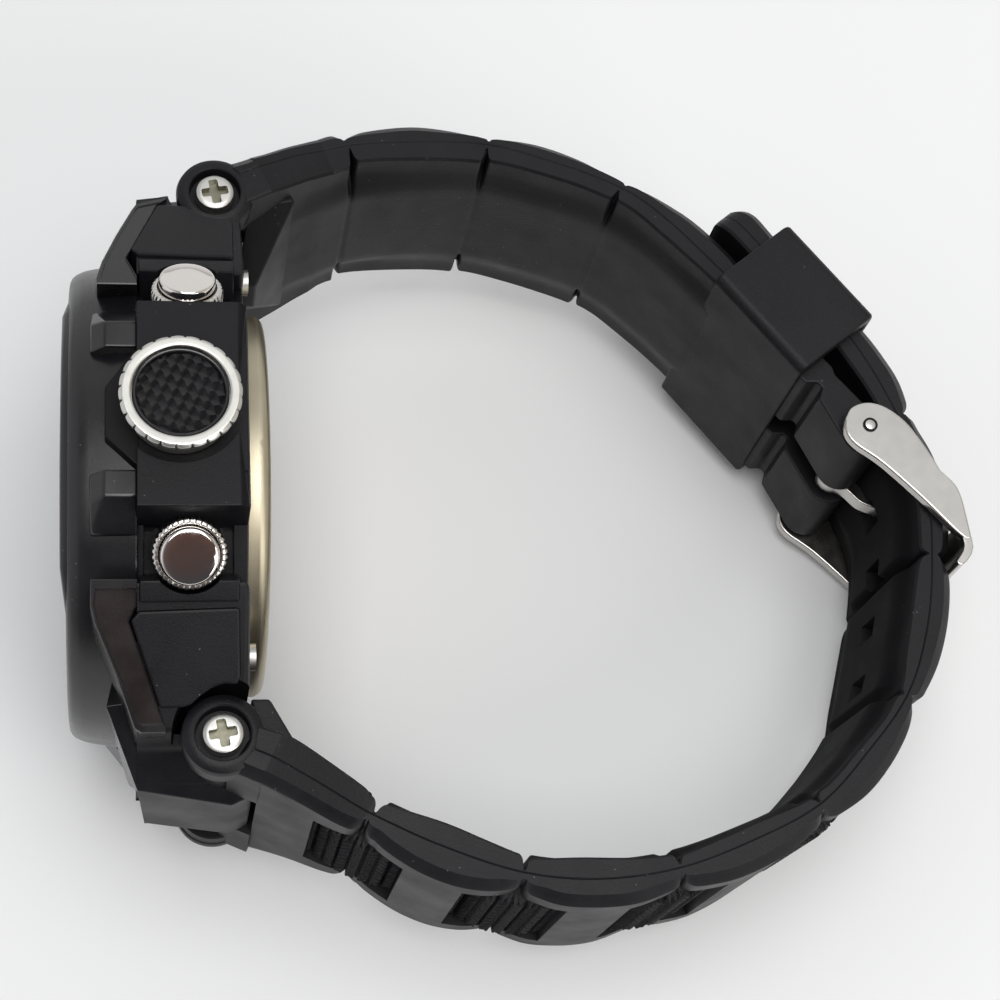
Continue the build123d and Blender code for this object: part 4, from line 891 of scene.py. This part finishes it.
ton = Piece()
TON_OUT = dense([(71.2, 4.4), (71.8, 2.9), (73.0, 1.35), (74.4, 0.6), (77.8, -1.3), (79.5, -3.4), (80.3, -6.2), (80.3, -9.6)], 6)
TON_IN = dense([(79.35, -9.9), (79.25, -6.4), (78.6, -4.0), (77.3, -2.5), (74.0, -0.7), (72.3, 0.1), (70.9, 1.5), (69.6, 2.0)], 6)
prism(ton, [tuple(p) for p in TON_OUT] + [(80.0, -10.0)] + [tuple(p) for p in TON_IN], -1.0, 1.0, XY, 0.18, 3, min_angle=0.5)
lathe(ton, [(-1.0, 0.84), (-1.0, 1.52), (-0.85, 1.68), (0.85, 1.68), (1.0, 1.52), (1.0, 0.84)], (PIN[0], PIN[1], 0), (0, 0, 1), 64, closed=True)
place("buckle_prong", ton, [M_BUCKLE], "buckle_tongue", ("buckle_tongue",), 35)

pin = Piece()
lathe(pin, [(-13.78, 0.0), (-13.78, 0.55), (-13.66, 0.74), (13.66, 0.74), (13.78, 0.55), (13.78, 0.0)], (PIN[0], PIN[1], 0), (0, 0, 1), 48)
for s_ in (1, -1):
    lathe(pin, [(13.5, 0.53), (13.5, 0.75), (13.8, 0.75), (13.8, 0.53)], (PIN[0], PIN[1], 0), (0, 0, s_), 48, mat=1, closed=True)
place("buckle_crosspin", pin, [M_SCREW, M_BLACK], "case", ("buckle_pin",), 35)

scr = Piece()
for sy in (1, -1):
    for sz in (1, -1):
        head = Piece()
        lathe(head, [(13.75, 0.0), (13.75, 1.9), (14.72, 1.906), (14.93, 1.84), (15.05, 1.66), (15.09, 1.4), (15.1, 0.0)], (0, 0, 0), (0, 0, 1), 96)
        tool = Piece()
        rot = math.radians(10 if sz > 0 else 35)
        cross = []
        q, r_ = 0.46, 1.33
        for k in range(4):
            a = rot + k * math.pi / 2
            c_, s2 = math.cos(a), math.sin(a)
            for (px, py) in ((q + 0.1, -q), (r_ - 0.12, -q), (r_, -q + 0.14), (r_, q - 0.14), (r_ - 0.12, q), (q + 0.1, q)):
                cross.append((c_ * px - s2 * py, s2 * px + c_ * py))
        prism(tool, cross, 14.15, 16.0, XY, 0, 1)
        hd = boolean(head, tool)
        flip = 1.0 if sz > 0 else -1.0
        m_ = hd.moved(lambda v: np.stack([v[:, 0] + LUG[0], v[:, 1] + sy * LUG[1], v[:, 2] * flip], 1))
        # the walls and floor of the recess take the second material, a darker olive metal that is painted shade in the
        # recess
        V_ = np.concatenate(m_.v)
        for fi, f in enumerate(m_.f):
            c_ = V_[list(f)].mean(0)
            rr = math.hypot(c_[0] - LUG[0], c_[1] - sy * LUG[1])
            if rr < 1.32 and max(abs(V_[list(f)][:, 2])) < 15.2 and min(abs(V_[list(f)][:, 2])) < 14.5 and rr > 0 and abs(c_[2]) > 13.9:
                m_.m[fi] = 1
        scr.join(m_)
        lathe(scr, [(2.6, 0.0), (2.6, 0.7), (2.85, 0.93), (13.8, 0.93), (13.8, 0.0)], (LUG[0], sy * LUG[1], 0), (0, 0, sz), 40)
place("strap_screws", scr, [M_SCREW, M_RECESS_SHADE], "case", ("lug_screws",), 35)

# ====================================================================
# case
# ====================================================================


def loft(piece, loops3, bevel=0.2, seg=2, mat=0, min_angle=0.3):
    """Closed solid through loops of 3-D points, all with the same count."""
    bm = bmesh.new()
    rows = [[bm.verts.new(p) for p in lp] for lp in loops3]
    n = len(rows[0])
    bm.faces.new(list(reversed(rows[0])))
    bm.faces.new(rows[-1])
    for a, b in zip(rows, rows[1:]):
        for i in range(n):
            j = (i + 1) % n
            bm.faces.new((a[i], a[j], b[j], b[i]))
    bmesh.ops.recalc_face_normals(bm, faces=bm.faces)
    bevel_bm(bm, bevel, seg, None, min_angle)
    from_bm(piece, bm, mat)


NA = math.radians(30.8)


def push_frame(sy, sz):
    n = (0, sy * math.sin(NA), sz * math.cos(NA))
    return axes((0.82, 0, 0), n, (1, 0, 0))


CN = (0.4848, 0.8746)


def corner(sy, sz):
    """Corner panel frame: a = X, b = |Y| along the panel from |Y| = 17.9."""
    o = Vector((0, sy * 17.9, sz * 20.4))
    n = Vector((0, sy * CN[0], sz * CN[1]))
    x = Vector((1, 0, 0))
    y = Vector((0, sy * CN[1], -sz * CN[0]))
    return o, x, y, n


def cpts(pts):
    return [(x, (y - 17.9) / CN[1]) for x, y in pts]


def dish(piece, O, I, fr, base, top, depth, bev=0.12, mat=0, mat_in=0, down=(0, 0, 0)):
    """Raised border between the outer and inner outline with a sunk field inside."""
    o, ea, eb, en = fr
    O, I = np.array(O, float), np.array(I, float)

    def toward(a, b, d):
        v = b - a
        l = np.linalg.norm(v, axis=1)[:, None]
        return a + v / np.maximum(l, 1e-6) * np.minimum(d, l * 0.45)

    rows = [(O, top - bev), (O, top - bev), (toward(O, I, bev), top), (toward(I, O, bev), top), (I, top - bev), (I, top - depth)]
    n = len(O)
    vs = []
    for k, (pts, h) in enumerate(rows):
        for a, b in pts:
            vs.append(tuple(o + ea * a + eb * b + en * h + (Vector(down) if k == 0 else Vector((0, 0, 0)))))
    fs, ms = [], []
    for i in range(len(rows) - 1):
        for j in range(n):
            jj = (j + 1) % n
            fs.append((i * n + j, i * n + jj, (i + 1) * n + jj, (i + 1) * n + j))
            ms.append(mat if i < 4 else mat_in)
    fs.append(tuple(range(n)))
    ms.append(mat)
    fs.append(tuple((len(rows) - 1) * n + j for j in reversed(range(n))))
    ms.append(mat_in)
    base_i = piece.n
    piece.add(vs, fs, mat)
    piece.m[-len(ms):] = ms


QUAD = [(0, 25.2), (10.1, 25.2), (10.1, 20.85), (15.5, 17.6), (15.55, 21.35), (17.78, 20.18), (27.9, 14.57), (28.15, 10.2), (31.2, 7.2), (31.2, 0)]


def all_round(quad):
    ring = quad + [(y, -z) for y, z in reversed(quad[:-1])]
    return ring + [(-y, z) for y, z in reversed(ring[1:-1])]


cas = Piece()
core = Piece()
prism(core, all_round(QUAD), -3.9, 6.35, YZ, 0.55, 2, min_angle=0.5, which="top")
bore = Piece()
lathe(bore, [(-9, 0), (-9, 17.6), (12, 17.6), (12, 0)], (0, 0, 0), (1, 0, 0), 160)
core = boolean(core, bore)


def back_recess(th):
    """Radius of the recess for the case back: the disc and its four screw tabs."""
    r = 20.05
    for q in (30.0, 150.0, 210.0, 330.0):
        d = abs((math.degrees(th) - q + 180) % 360 - 180)
        dr = math.radians(d)
        if d < 6.5:
            lim = min(1.95 / max(math.sin(dr), 1e-4), 22.8 / math.cos(dr))
            if 22.8 * math.sin(dr) < 1.95:
                lim = max(lim, 22.8 * math.cos(dr) + math.sqrt(1.95 ** 2 - (22.8 * math.sin(dr)) ** 2))
            r = max(r, lim)
    return r


rec = Piece()
prism(rec, [(back_recess(t_) * math.cos(t_), back_recess(t_) * math.sin(t_)) for t_ in np.linspace(0, 2 * math.pi, 480, endpoint=False)],
      5.6, 12, YZ, 0, 1)
core = boolean(core, rec)
tb = Piece()
lathe(tb, [(15, 0), (15, 1.6), (27, 1.6), (27, 0)], (0, 0, 0), (0, 0, 1), 48)
core = boolean(core, tb)


for z0, z1 in ((9.0, 20.0), (-20.0, -9.0)):
    trim = Piece()
    prism(trim, [(-5.0, 26.75), (-3.9, 26.95), (-1.7, 27.4), (-1.0, 27.75), (-0.7, 28.4), (-0.7, 30.0), (-5.0, 30.0)], z0, z1, XY, 0, 1)
    core = boolean(core, trim)
trim = Piece()
loft(trim, [[(-5.0, y, 9.0), (-3.98, y, 9.0), (-2.6, y, -15.2), (-5.0, y, -15.2)] for y in (-34.0, -26.6)], 0, 1)
core = boolean(core, trim)


def hood_case(sy):
    p_ = Piece()
    back_ = [(x, y, s_ * z) for s_ in (1, -1) for x, y, z in ((6.1, 25.0, 13.1), (6.35, 25.0, 12.8), (5.0, 32.65, 5.75), (7.05, 31.8, 6.1))]
    if sy < 0:
        front = [(-3.9, 25.0, 13.1), (-3.9, 31.33, 7.05), (-3.7, 25.0, -13.1), (-3.1, 28.1, -10.1), (-3.05, 31.1, -7.05)]
    else:
        front = [(x, y, s_ * z) for s_ in (1, -1) for x, y, z in ((-3.8, 25.0, 13.1), (-3.1, 27.6, 10.7), (-2.2, 30.4, 7.6), (-1.2, 31.1, 7.0))]
    hull(p_, [(x, sy * y, z) for x, y, z in back_ + front], 0.2, 2)
    return p_


def pocket(sy, sz):
    t_ = Piece()
    lathe(t_, [(11.1, 0), (11.1, 4.5), (11.3, 4.7), (22, 4.7), (22, 0)], (LUG[0], sy * LUG[1], 0), (0, 0, sz), 120)
    return t_


def push_pocket(sy, sz):
    t_ = Piece()
    lathe(t_, [(15.0, 0), (15.0, 2.1), (23.0, 2.1), (23.0, 3.62), (30, 3.62), (30, 0)], (0.82, 0, 0), (0, sy * math.sin(NA), sz * math.cos(NA)), 96)
    return t_


hoods = [hood_case(1), hood_case(-1)]
for k_, sy in enumerate((1, -1)):
    for sz in (1, -1):
        core = boolean(core, pocket(sy, sz))
        core = boolean(core, push_pocket(sy, sz))
        hoods[k_] = boolean(hoods[k_], pocket(sy, sz))
    cas.join(hoods[k_])
cas.join(core)
arc = [(5.95 * math.sin(math.radians(a)), 5.95 * math.cos(math.radians(a))) for a in np.linspace(64.0, -41.4, 26)]
for sz in (1, -1):
    for sy in (1, -1):
        def blk(x0, x1, yo):
            pts = [(x0, yo), (x1, yo)]
            a_top = [(min(x, x1), y) for x, y in arc]
            pts += [(max(min(x, x1), x0), y) for x, y in arc]
            return pts
        lo_ = [(x, sy * y, sz * 20.5) for x, y in blk(-3.93, 6.25, 10.2)]
        m1 = [(x, sy * y, sz * 25.75) for x, y in blk(-3.93, 6.25, 10.2)]
        hi_ = [(x, sy * y, sz * 26.5) for x, y in blk(-3.93, 5.45, 10.2)]
        hi_[1] = (5.45, sy * 10.2, sz * 26.5)
        loft(cas, [lo_, m1, hi_], 0.16, 2, min_angle=0.45)
for sz in (1, -1):
    # thin step behind the crown
    prism(cas, [(-3.9, -6.4), (6.2, -6.4), (6.2, 6.4), (-3.9, 6.4)], 24.0 if sz > 0 else -25.3, 25.3 if sz > 0 else -24.0, XY, 0.1, 1)
PANEL = [(-3.77, 18.08), (5.4, 17.85), (5.5, 23.5), (5.2, 24.15), (4.0, 24.05), (3.0, 24.35), (1.9, 25.0), (1.0, 25.75), (0.4, 25.95),
         (-1.87, 26.0), (-4.54, 18.85)]
BARP = [(-3.7, 15.6), (5.35, 15.6), (5.35, 17.35), (-3.7, 17.4)]
for sy in (1, -1):
    for sz in (1, -1):
        fr = corner(sy, sz)
        prism(cas, cpts(PANEL), -2.2, 0.12, fr, 0.32, 2, min_angle=0.2)
        bar_ = Piece()
        prism(bar_, cpts(BARP), -3.4, 0.12, fr, 0.22, 2, min_angle=0.2)
        cas.join(boolean(bar_, push_pocket(sy, sz)))
        pf_ = push_frame(sy, sz)
        # ledges round the collar
        for (a0, a1, b0, b1) in ((-4.72, 5.4, 4.05, 5.4), (-4.72, 5.4, -5.6, -4.05), (4.1, 5.4, -4.2, 4.2), (-4.72, -4.1, -4.2, 4.2)):
            prism(cas, [(a0, b0), (a1, b0), (a1, b1), (a0, b1)], 20.5, 23.62, pf_, 0.12, 2)
        # barrel of the lug inside the strap ears
    for z0, z1 in ((6.0, 11.0), (-11.0, -6.0)):
        lathe(cas, [(z0, 0.1), (z0, 3.05), (z1, 3.05), (z1, 1.55), (z1 - 0.6, 1.55)] if z1 > 0 else
              [(z1, 0.1), (z1, 3.05), (z0, 3.05), (z0, 1.55), (z0 + 0.6, 1.55)], (LUG[0], sy * LUG[1], 0), (0, 0, 1), 72)
place("case_body", cas, [M_CASE], "case", ("case_middle",), 35)

# ====================================================================
# bezel
# ====================================================================
bez = Piece()
lathe(bez, [(-3.9, 24.55), (-4.05, 24.62), (-8.3, 23.85), (-9.0, 23.68), (-9.3, 23.55), (-9.8, 23.3), (-10.15, 23.0), (-10.36, 22.6), (-10.42, 22.2),
            (-10.42, 20.5), (-10.3, 20.3), (-10.12, 20.05), (-9.95, 18.75), (-9.9, 18.4), (-9.88, 17.95), (-9.75, 17.75), (-8.4, 17.75),
            (-8.4, 17.2), (-3.9, 17.2)], (0, 0, 0), (1, 0, 0), 300, closed=True)
for sz in (1, -1):
    # raised sector on the front, its ends sloped down into the rim
    sec = []
    for a in np.linspace(-50, 42, 93):
        f = float(np.clip((a + 50) / 14, 0, 1) * np.clip((42 - a) / 9, 0, 1))
        c_, s2 = math.cos(math.radians(a)), math.sin(math.radians(a))
        sec.append([(x, s2 * r, sz * c_ * r) for x, r in ((-9.7, 20.7), (-10.25 - 0.58 * f, 20.75), (-10.33 - 0.58 * f, 20.9), (-10.33 - 0.58 * f, 22.25),
                                                         (-10.25 - 0.53 * f, 22.5), (-10.1 - 0.4 * f, 22.72), (-9.7, 22.9))])
    loft(bez, sec, 0, 1)
OUTL = [(-8.05, 15.5), (-8.12, 17.5), (-7.76, 19.0), (-5.85, 23.2), (-4.15, 27.6), (-3.5, 28.0), (-1.3, 28.0), (-1.21, 27.85), (-1.87, 26.02),
        (-4.6, 18.85), (-3.95, 17.7), (-3.9, 15.5)]
INL = [(-7.62, 16.35), (-7.70, 17.6), (-7.34, 19.0), (-5.45, 23.1), (-3.82, 27.0), (-3.4, 27.28), (-1.56, 27.28), (-1.5, 27.2), (-2.02, 26.0),
       (-4.72, 18.88), (-4.07, 17.66), (-4.0, 16.3)]
OUTU = [(-7.62, 13.7), (-7.75, 14.4), (-7.2, 17.0), (-5.9, 21.0), (-4.4, 25.0), (-3.95, 25.95), (-3.2, 26.3), (-1.04, 27.05), (-0.9, 26.9), (-1.87, 25.9),
        (-4.85, 17.6), (-3.85, 14.9), (-3.9, 13.7)]
INU = [(-7.1, 14.3), (-7.2, 14.8), (-6.75, 17.1), (-5.5, 21.0), (-4.05, 24.8), (-3.7, 25.45), (-3.1, 25.7), (-1.6, 26.3), (-1.55, 26.2), (-2.05, 25.8),
       (-5.05, 17.6), (-4.1, 14.95), (-4.05, 14.3)]
for sy in (1, -1):
    for sz in (1, -1):
        fr = corner(sy, sz)
        if sy < 0:
            far = [1.05 * min(max((y - 18.0) / 4.0, 0), 1) if sz < 0 else 0.0 for x, y in OUTL]
            fari = [1.05 * min(max((y - 18.0) / 4.0, 0), 1) if sz < 0 else 0.0 for x, y in INL]
            dish(bez, cpts([(min(x + d, max(x, -1.25)), y) for (x, y), d in zip(OUTL, far)]), cpts([(min(x + d, max(x, -1.6)), y) for (x, y), d in zip(INL, fari)]),
                 fr, 0, 0.1, 0.34, 0.13, 0, 1, (0, 0, -sz * 4.9))
        else:
            dish(bez, cpts(OUTU), cpts(INU), fr, 0, 0.1, 0.12, 0.10, 0, 0, (0, 0, -sz * 4.9))
        # blocks beside the crown
        hull(bez, [(-6.9, sy * 6.1, sz * 25.0), (-3.85, sy * 6.1, sz * 25.0), (-3.85, sy * 8.7, sz * 25.0), (-6.9, sy * 8.7, sz * 25.0),
                   (-8.2, sy * 6.1, sz * 23.7), (-8.2, sy * 8.9, sz * 23.7), (-3.85, sy * 11.4, sz * 21.9), (-8.1, sy * 11.2, sz * 21.6),
                   (-8.2, sy * 5.9, sz * 19.5), (-3.85, sy * 5.9, sz * 19.5), (-8.2, sy * 11.0, sz * 19.0), (-3.85, sy * 11.2, sz * 19.0)], 0.24, 3)
    # hood of the bezel over the strap side
    if sy < 0:
        hp = [(-3.86, 31.31, 7.06), (-6.24, 25.85, 12.3), (-6.7, 24.9, 13.1), (-6.0, 21.0, 10.8), (-3.8, 21.2, 11.6), (-3.8, 31.45, 6.95), (-3.8, 24.6, 13.4),
              (-4.6, 25.85, -12.3), (-4.85, 24.9, -13.1), (-5.2, 21.0, -10.8), (-3.7, 21.2, -11.6), (-3.7, 24.6, -13.4), (-3.6, 26.5, -10.5)]
    else:
        hp = [(x, y, s_ * z) for s_ in (1, -1) for x, y, z in ((-3.75, 26.4, 11.8), (-4.2, 24.9, 13.1), (-5.2, 21.0, 10.8), (-3.7, 21.2, 11.6), (-3.7, 24.6, 13.4))]
    hull(bez, [(x, sy * y, z) for x, y, z in hp], 0.07, 2)
for sz in (1, -1):
    prism(bez, [(-3.7, -6.0), (-4.2, -5.6), (-6.83, -3.0), (-6.83, 1.9), (-6.1, 2.9), (-4.2, 5.6), (-3.7, 6.0)],
          20.5 if sz > 0 else -25.4, 25.4 if sz > 0 else -20.5, XY, 0.2, 2, 2)
place("bezel_shell", bez, [M_BEZEL, M_FIELD, M_BLACK], "case", ("bezel",), 35)

# ====================================================================
# crown and pushers
# ====================================================================
cro = Piece()
NL = 24


def lobes(depth):
    def fn(th, i):
        ph = (th * NL / (2 * math.pi) + 0.37) % 1.0            # saw-like notch, one steep wall
        d = np.where(ph < 0.07, 1.0, np.clip(1 - (ph - 0.07) / 0.13, 0, 1) ** 1.5)
        bulge = 0.10 * np.sin(math.pi * np.clip((ph - 0.07) / 0.93, 0, 1)) - 0.05
        return depth[i] * (-d + bulge * 2.2)
    return fn


prof = [(25.5, 1.0), (25.5, 4.8), (26.6, 4.95), (27.45, 5.05), (27.62, 5.22), (27.74, 5.4), (28.42, 5.57), (28.66, 5.57), (28.75, 5.53), (28.93, 5.33),
        (28.965, 5.26), (28.965, 5.18), (28.965, 4.70), (28.96, 4.65), (28.93, 4.56), (28.86, 4.49), (27.95, 4.47), (27.95, 1.0)]
dep = [0, 0, 0, 0, 0.10, 0.20, 0.26, 0.24, 0.20, 0.02, 0, 0, 0, 0, 0, 0, 0, 0]
lathe(cro, prof, (0, 0, 0), (0, 0, 1), NL * 28, mod=lobes(dep))
place("crown_ring", cro, [M_RING], "crown", ("crown_shell",), 35)

inl = Piece()
lathe(inl, [(27.96, 0.02), (27.96, 4.40), (28.5, 4.395), (28.66, 4.33), (28.72, 4.22), (28.7, 4.12), (28.58, 4.04), (27.99, 4.02), (27.99, 0.02)],
      (0, 0, 0), (0, 0, 1), 160)
grid = Piece()
PP, RT = 1.06, math.radians(-24.0)
ca_, sa_ = math.cos(RT), math.sin(RT)
NC = 5
gv, gf, key = [], [], {}


def gpt(u, v, z):
    k = (round(u, 4), round(v, 4), round(z, 4))
    if k not in key:
        key[k] = len(gv)
        gv.append((ca_ * u - sa_ * v, sa_ * u + ca_ * v, z))
    return key[k]


for i in range(-NC, NC + 1):
    for j in range(-NC, NC + 1):
        u0, v0 = (i - 0.5) * PP, (j - 0.5) * PP
        c = [gpt(u0, v0, 28.03), gpt(u0 + PP, v0, 28.03), gpt(u0 + PP, v0 + PP, 28.03), gpt(u0, v0 + PP, 28.03)]
        a_ = gpt(u0 + PP / 2, v0 + PP / 2, 28.54)
        for k in range(4):
            gf.append((c[k], c[(k + 1) % 4], a_))
e_ = (NC + 0.5) * PP
ring_ = [(-e_ + k * PP, -e_) for k in range(2 * NC + 1)] + [(e_, -e_ + k * PP) for k in range(2 * NC + 1)] + \
        [(e_ - k * PP, e_) for k in range(2 * NC + 1)] + [(-e_, e_ - k * PP) for k in range(2 * NC + 1)]
rt_, rb_ = [gpt(u, v, 28.03) for u, v in ring_], [gpt(u, v, 27.97) for u, v in ring_]
for k in range(len(ring_)):
    kk = (k + 1) % len(ring_)
    gf.append((rb_[k], rb_[kk], rt_[kk], rt_[k]))
gf.append(tuple(reversed(rb_)))
grid.add(gv, gf)
cyl = Piece()
lathe(cyl, [(27.9, 0), (27.9, 4.06), (29.5, 4.06), (29.5, 0)], (0, 0, 0), (0, 0, 1), 128)
inl.join(boolean(grid, cyl, "INTERSECT"))
place("crown_grip", inl, [M_INLAY], "crown", ("crown_inlay",), 20)

PUSH = {"pusher_2": (1, 1), "pusher_4": (-1, 1), "pusher_8": (-1, -1), "pusher_10": (1, -1)}
col = Piece()
for nm, (sy, sz) in PUSH.items():
    n_ = (0, sy * math.sin(NA), sz * math.cos(NA))
    o_ = (0.82, 0, 0)
    p_ = Piece()
    lathe(p_, [(17.8, 0.0), (17.8, 0.6), (22.0, 0.6), (22.0, 2.0), (25.7, 2.0), (25.75, 2.55), (25.85, 2.66), (25.98, 2.7), (27.12, 2.7), (27.3, 2.67),
               (27.42, 2.6), (27.49, 2.5), (27.52, 2.36), (27.54, 1.4), (27.55, 0.0)], o_, n_, 128)
    place(nm + "_cap", p_, [M_CAP], nm, (nm,), 40)
    NT = 36

    def teeth(th, i):
        d = (0, 0, 0.02, 0.16, 0.16, 0.10, 0, 0, 0, 0)[i]
        ph = (th * NT / (2 * math.pi)) % 1.0
        return -d * (1 - np.abs(np.sin(math.pi * ph)) ** 0.6)
    lathe(col, [(23.02, 2.12), (23.02, 3.0), (23.1, 3.3), (23.3, 3.42), (26.15, 3.42), (26.36, 3.30), (26.46, 3.1), (26.44, 2.86), (24.72, 2.8),
                (24.65, 2.12)], o_, n_, NT * 10,
          mod=teeth, closed=True)
place("pusher_rings", col, [M_COLLAR], "case", ("pusher_collars",), 35)

# ====================================================================
# dial marks, digits, minute track (plain)
# ====================================================================


def bar_yz(piece, cy, cz, w, l, ang, x0, x1, mat=0, bev=0.03):
    c_, s_ = math.cos(ang), math.sin(ang)
    pts = [(cy + c_ * a - s_ * b, cz + s_ * a + c_ * b) for a, b in ((-l / 2, -w / 2), (l / 2, -w / 2), (l / 2, w / 2), (-l / 2, w / 2))]
    prism(piece, pts, x0, x1, YZ, bev, 1, mat)


mk = Piece()
for k in range(12):
    a = math.radians(30 * k)
    if k in (0, 6):
        for d in (-0.55, 0.55):
            bar_yz(mk, 13.0 * math.cos(a) - d * math.sin(a), 13.0 * math.sin(a) + d * math.cos(a), 0.62, 2.3, a, -6.86, -6.55)
    else:
        bar_yz(mk, 13.0 * math.cos(a), 13.0 * math.sin(a), 0.62, 2.3, a, -6.86, -6.55)
for k in range(60):
    a = math.radians(6 * k)
    r_ = 14.95
    bar_yz(mk, r_ * math.cos(a), r_ * math.sin(a), 0.26 if k % 5 else 0.42, 0.55, a, -7.02 - 0.0, -6.6, bev=0.0)
place("dial_marks", mk, [M_WHITE], "case", (), 35)

SEGS = {"0": "abcdef", "1": "bc", "2": "abged", "3": "abgcd", "4": "fgbc", "5": "afgcd", "6": "afgedc", "7": "abc", "8": "abcdefg", "9": "abcdfg"}
sg = Piece()


def digit(ch, cy, cz, h, w, t):
    """Seven-segment figure; up is +Y and reading runs along +Z seen from the front."""
    for s_ in SEGS[ch]:
        y, z, l, horiz = {"a": (h / 2, 0, w, True), "g": (0, 0, w, True), "d": (-h / 2, 0, w, True), "b": (h / 4, w / 2, h / 2, False),
                          "c": (-h / 4, w / 2, h / 2, False), "f": (h / 4, -w / 2, h / 2, False), "e": (-h / 4, -w / 2, h / 2, False)}[s_]
        bar_yz(sg, cy + y, cz + z, t, l * 0.84, math.radians(90) if horiz else 0.0, -5.80, -5.77, bev=0.0)


for k, ch in enumerate("1058"):
    digit(ch, -8.0, (-4.6, -1.9, 1.9, 4.6)[k], 3.2, 1.6, 0.36)
for d in (-0.7, 0.7):
    bar_yz(sg, -8.0 + d, 0.0, 0.4, 0.4, 0, -5.80, -5.77, bev=0.0)
for k, ch in enumerate("27"):
    digit(ch, 6.5, (-1.3, 1.3)[k], 2.3, 1.2, 0.28)
place("display_figures", sg, [M_SEG], "case", (), 35)

# ====================================================================
# floor, light, camera
# ====================================================================


def row(p):
    return Vector(((p[0] - XB) / 1000.0, p[1] / 1000.0, p[2] / 1000.0))


up = Vector((-0.1496, 0.0, 0.98875)).normalized()
fx = (Vector((1, 0, 0)) - up * up.x).normalized()
fy = up.cross(fx)
centre = row((34.0, -3.0, 0.0))
foot = centre - up * (up.dot(centre) - up.dot(row(tuple(up * -25.55))) - 0.0)
bpy.ops.mesh.primitive_plane_add(size=3.2)
floor = bpy.context.object
floor.name = "floor"
rot = Matrix((fx, fy, up)).transposed()
floor.matrix_world = Matrix.Translation(foot) @ rot.to_4x4()
mt, nt, bs, tc = new_mat("floor_look")
n1 = noise(nt, tc, 3.0, 3)
rp = ramp(nt, n1.outputs["Fac"], [(0.3, (0.77, 0.775, 0.785)), (0.7, (0.785, 0.79, 0.80))])
nt.links.new(rp.outputs["Color"], bs.inputs["Base Color"])
rr = maprange(nt, n1.outputs["Fac"], 0.3, 0.7, 0.75, 0.85)
nt.links.new(rr.outputs["Result"], bs.inputs["Roughness"])
bs.inputs["Specular IOR Level"].default_value = 0.15
floor.data.materials.append(mt)


def area(name, at, to, size, power, col=(1, 1, 1), shape="RECTANGLE", size_y=None):
    li = bpy.data.lights.new(name, "AREA")
    li.shape = shape
    li.size = size
    li.size_y = size_y or size
    li.energy = power
    li.color = col
    ob = bpy.data.objects.new(name, li)
    bpy.context.scene.collection.objects.link(ob)
    d = (Vector(to) - Vector(at)).normalized()
    ob.matrix_world = Matrix.Translation(Vector(at)) @ d.to_track_quat("-Z", "Y").to_matrix().to_4x4()
    return ob


def at(x, y, z):
    return centre + fx * x + fy * y + up * z


area("soft_top", at(0.12, -0.12, 0.84), centre, 0.62, 5.3, (1.0, 0.995, 0.985))
area("soft_side", at(0.52, -0.60, 0.46), centre, 0.45, 2.5, (1.0, 0.99, 0.97))
w = bpy.data.worlds.new("room")
bpy.context.scene.world = w
w.use_nodes = True
wt = w.node_tree
bg = wt.nodes["Background"]
wc = wt.nodes.new("ShaderNodeTexCoord")


def lobe(direction, lo, hi):
    """1 toward a direction of the room, falling to 0."""
    d = Vector(direction).normalized()
    vm = wt.nodes.new("ShaderNodeVectorMath")
    vm.operation = "DOT_PRODUCT"
    wt.links.new(wc.outputs["Generated"], vm.inputs[0])
    vm.inputs[1].default_value = d
    mr = wt.nodes.new("ShaderNodeMapRange")
    mr.interpolation_type = "SMOOTHSTEP"
    mr.inputs["From Min"].default_value = lo
    mr.inputs["From Max"].default_value = hi
    wt.links.new(vm.outputs["Value"], mr.inputs["Value"])
    return mr.outputs["Result"]


col_w = None
for direction, lo, hi, tint in (((0.0, 1.0, 0.05), 0.2, 0.95, (0.80, 0.81, 0.80)), ((0.14, 0.38, 0.92), 0.84, 0.97, (0.80, 0.81, 0.82)),
                                ((0.16, -0.64, 0.75), 0.80, 0.99, (0.10, 0.055, 0.045)), ((0.1, -0.95, 0.3), 0.75, 0.98, (0.06, 0.06, 0.065)),
                                ((-1.0, 0.0, 0.2), 0.6, 0.98, (0.80, 0.81, 0.83)), ((1.0, 0.0, 0.1), 0.5, 0.98, (0.60, 0.57, 0.48))):
    mx = wt.nodes.new("ShaderNodeMix")
    mx.data_type = "RGBA"
    wt.links.new(lobe(direction, lo, hi), mx.inputs["Factor"])
    if col_w is None:
        mx.inputs[6].default_value = (0.25, 0.255, 0.265, 1)
    else:
        wt.links.new(col_w, mx.inputs[6])
    mx.inputs[7].default_value = (*tint, 1)
    col_w = mx.outputs[2]
wt.links.new(col_w, bg.inputs["Color"])
bg.inputs["Strength"].default_value = 1.0

cam_d = bpy.data.cameras.new("camera")
cam = bpy.data.objects.new("camera", cam_d)
bpy.context.scene.collection.objects.link(cam)
cam_d.sensor_width = 36.0
cam_d.lens = 82.79
cam_d.clip_start = 0.01
cam_d.clip_end = 20.0
rgt, dwn, fwd = Vector((0.98708, -0.05815, 0.14932)), Vector((0.00039, -0.93096, -0.36511)), Vector((0.16024, 0.36045, -0.91891))
rm = Matrix((rgt, -dwn, -fwd)).transposed()
cam.matrix_world = Matrix.Translation(row((-4.8327, -85.742, 220.414))) @ rm.to_4x4()
bpy.context.scene.camera = cam
bpy.context.scene.view_settings.view_transform = "Standard"
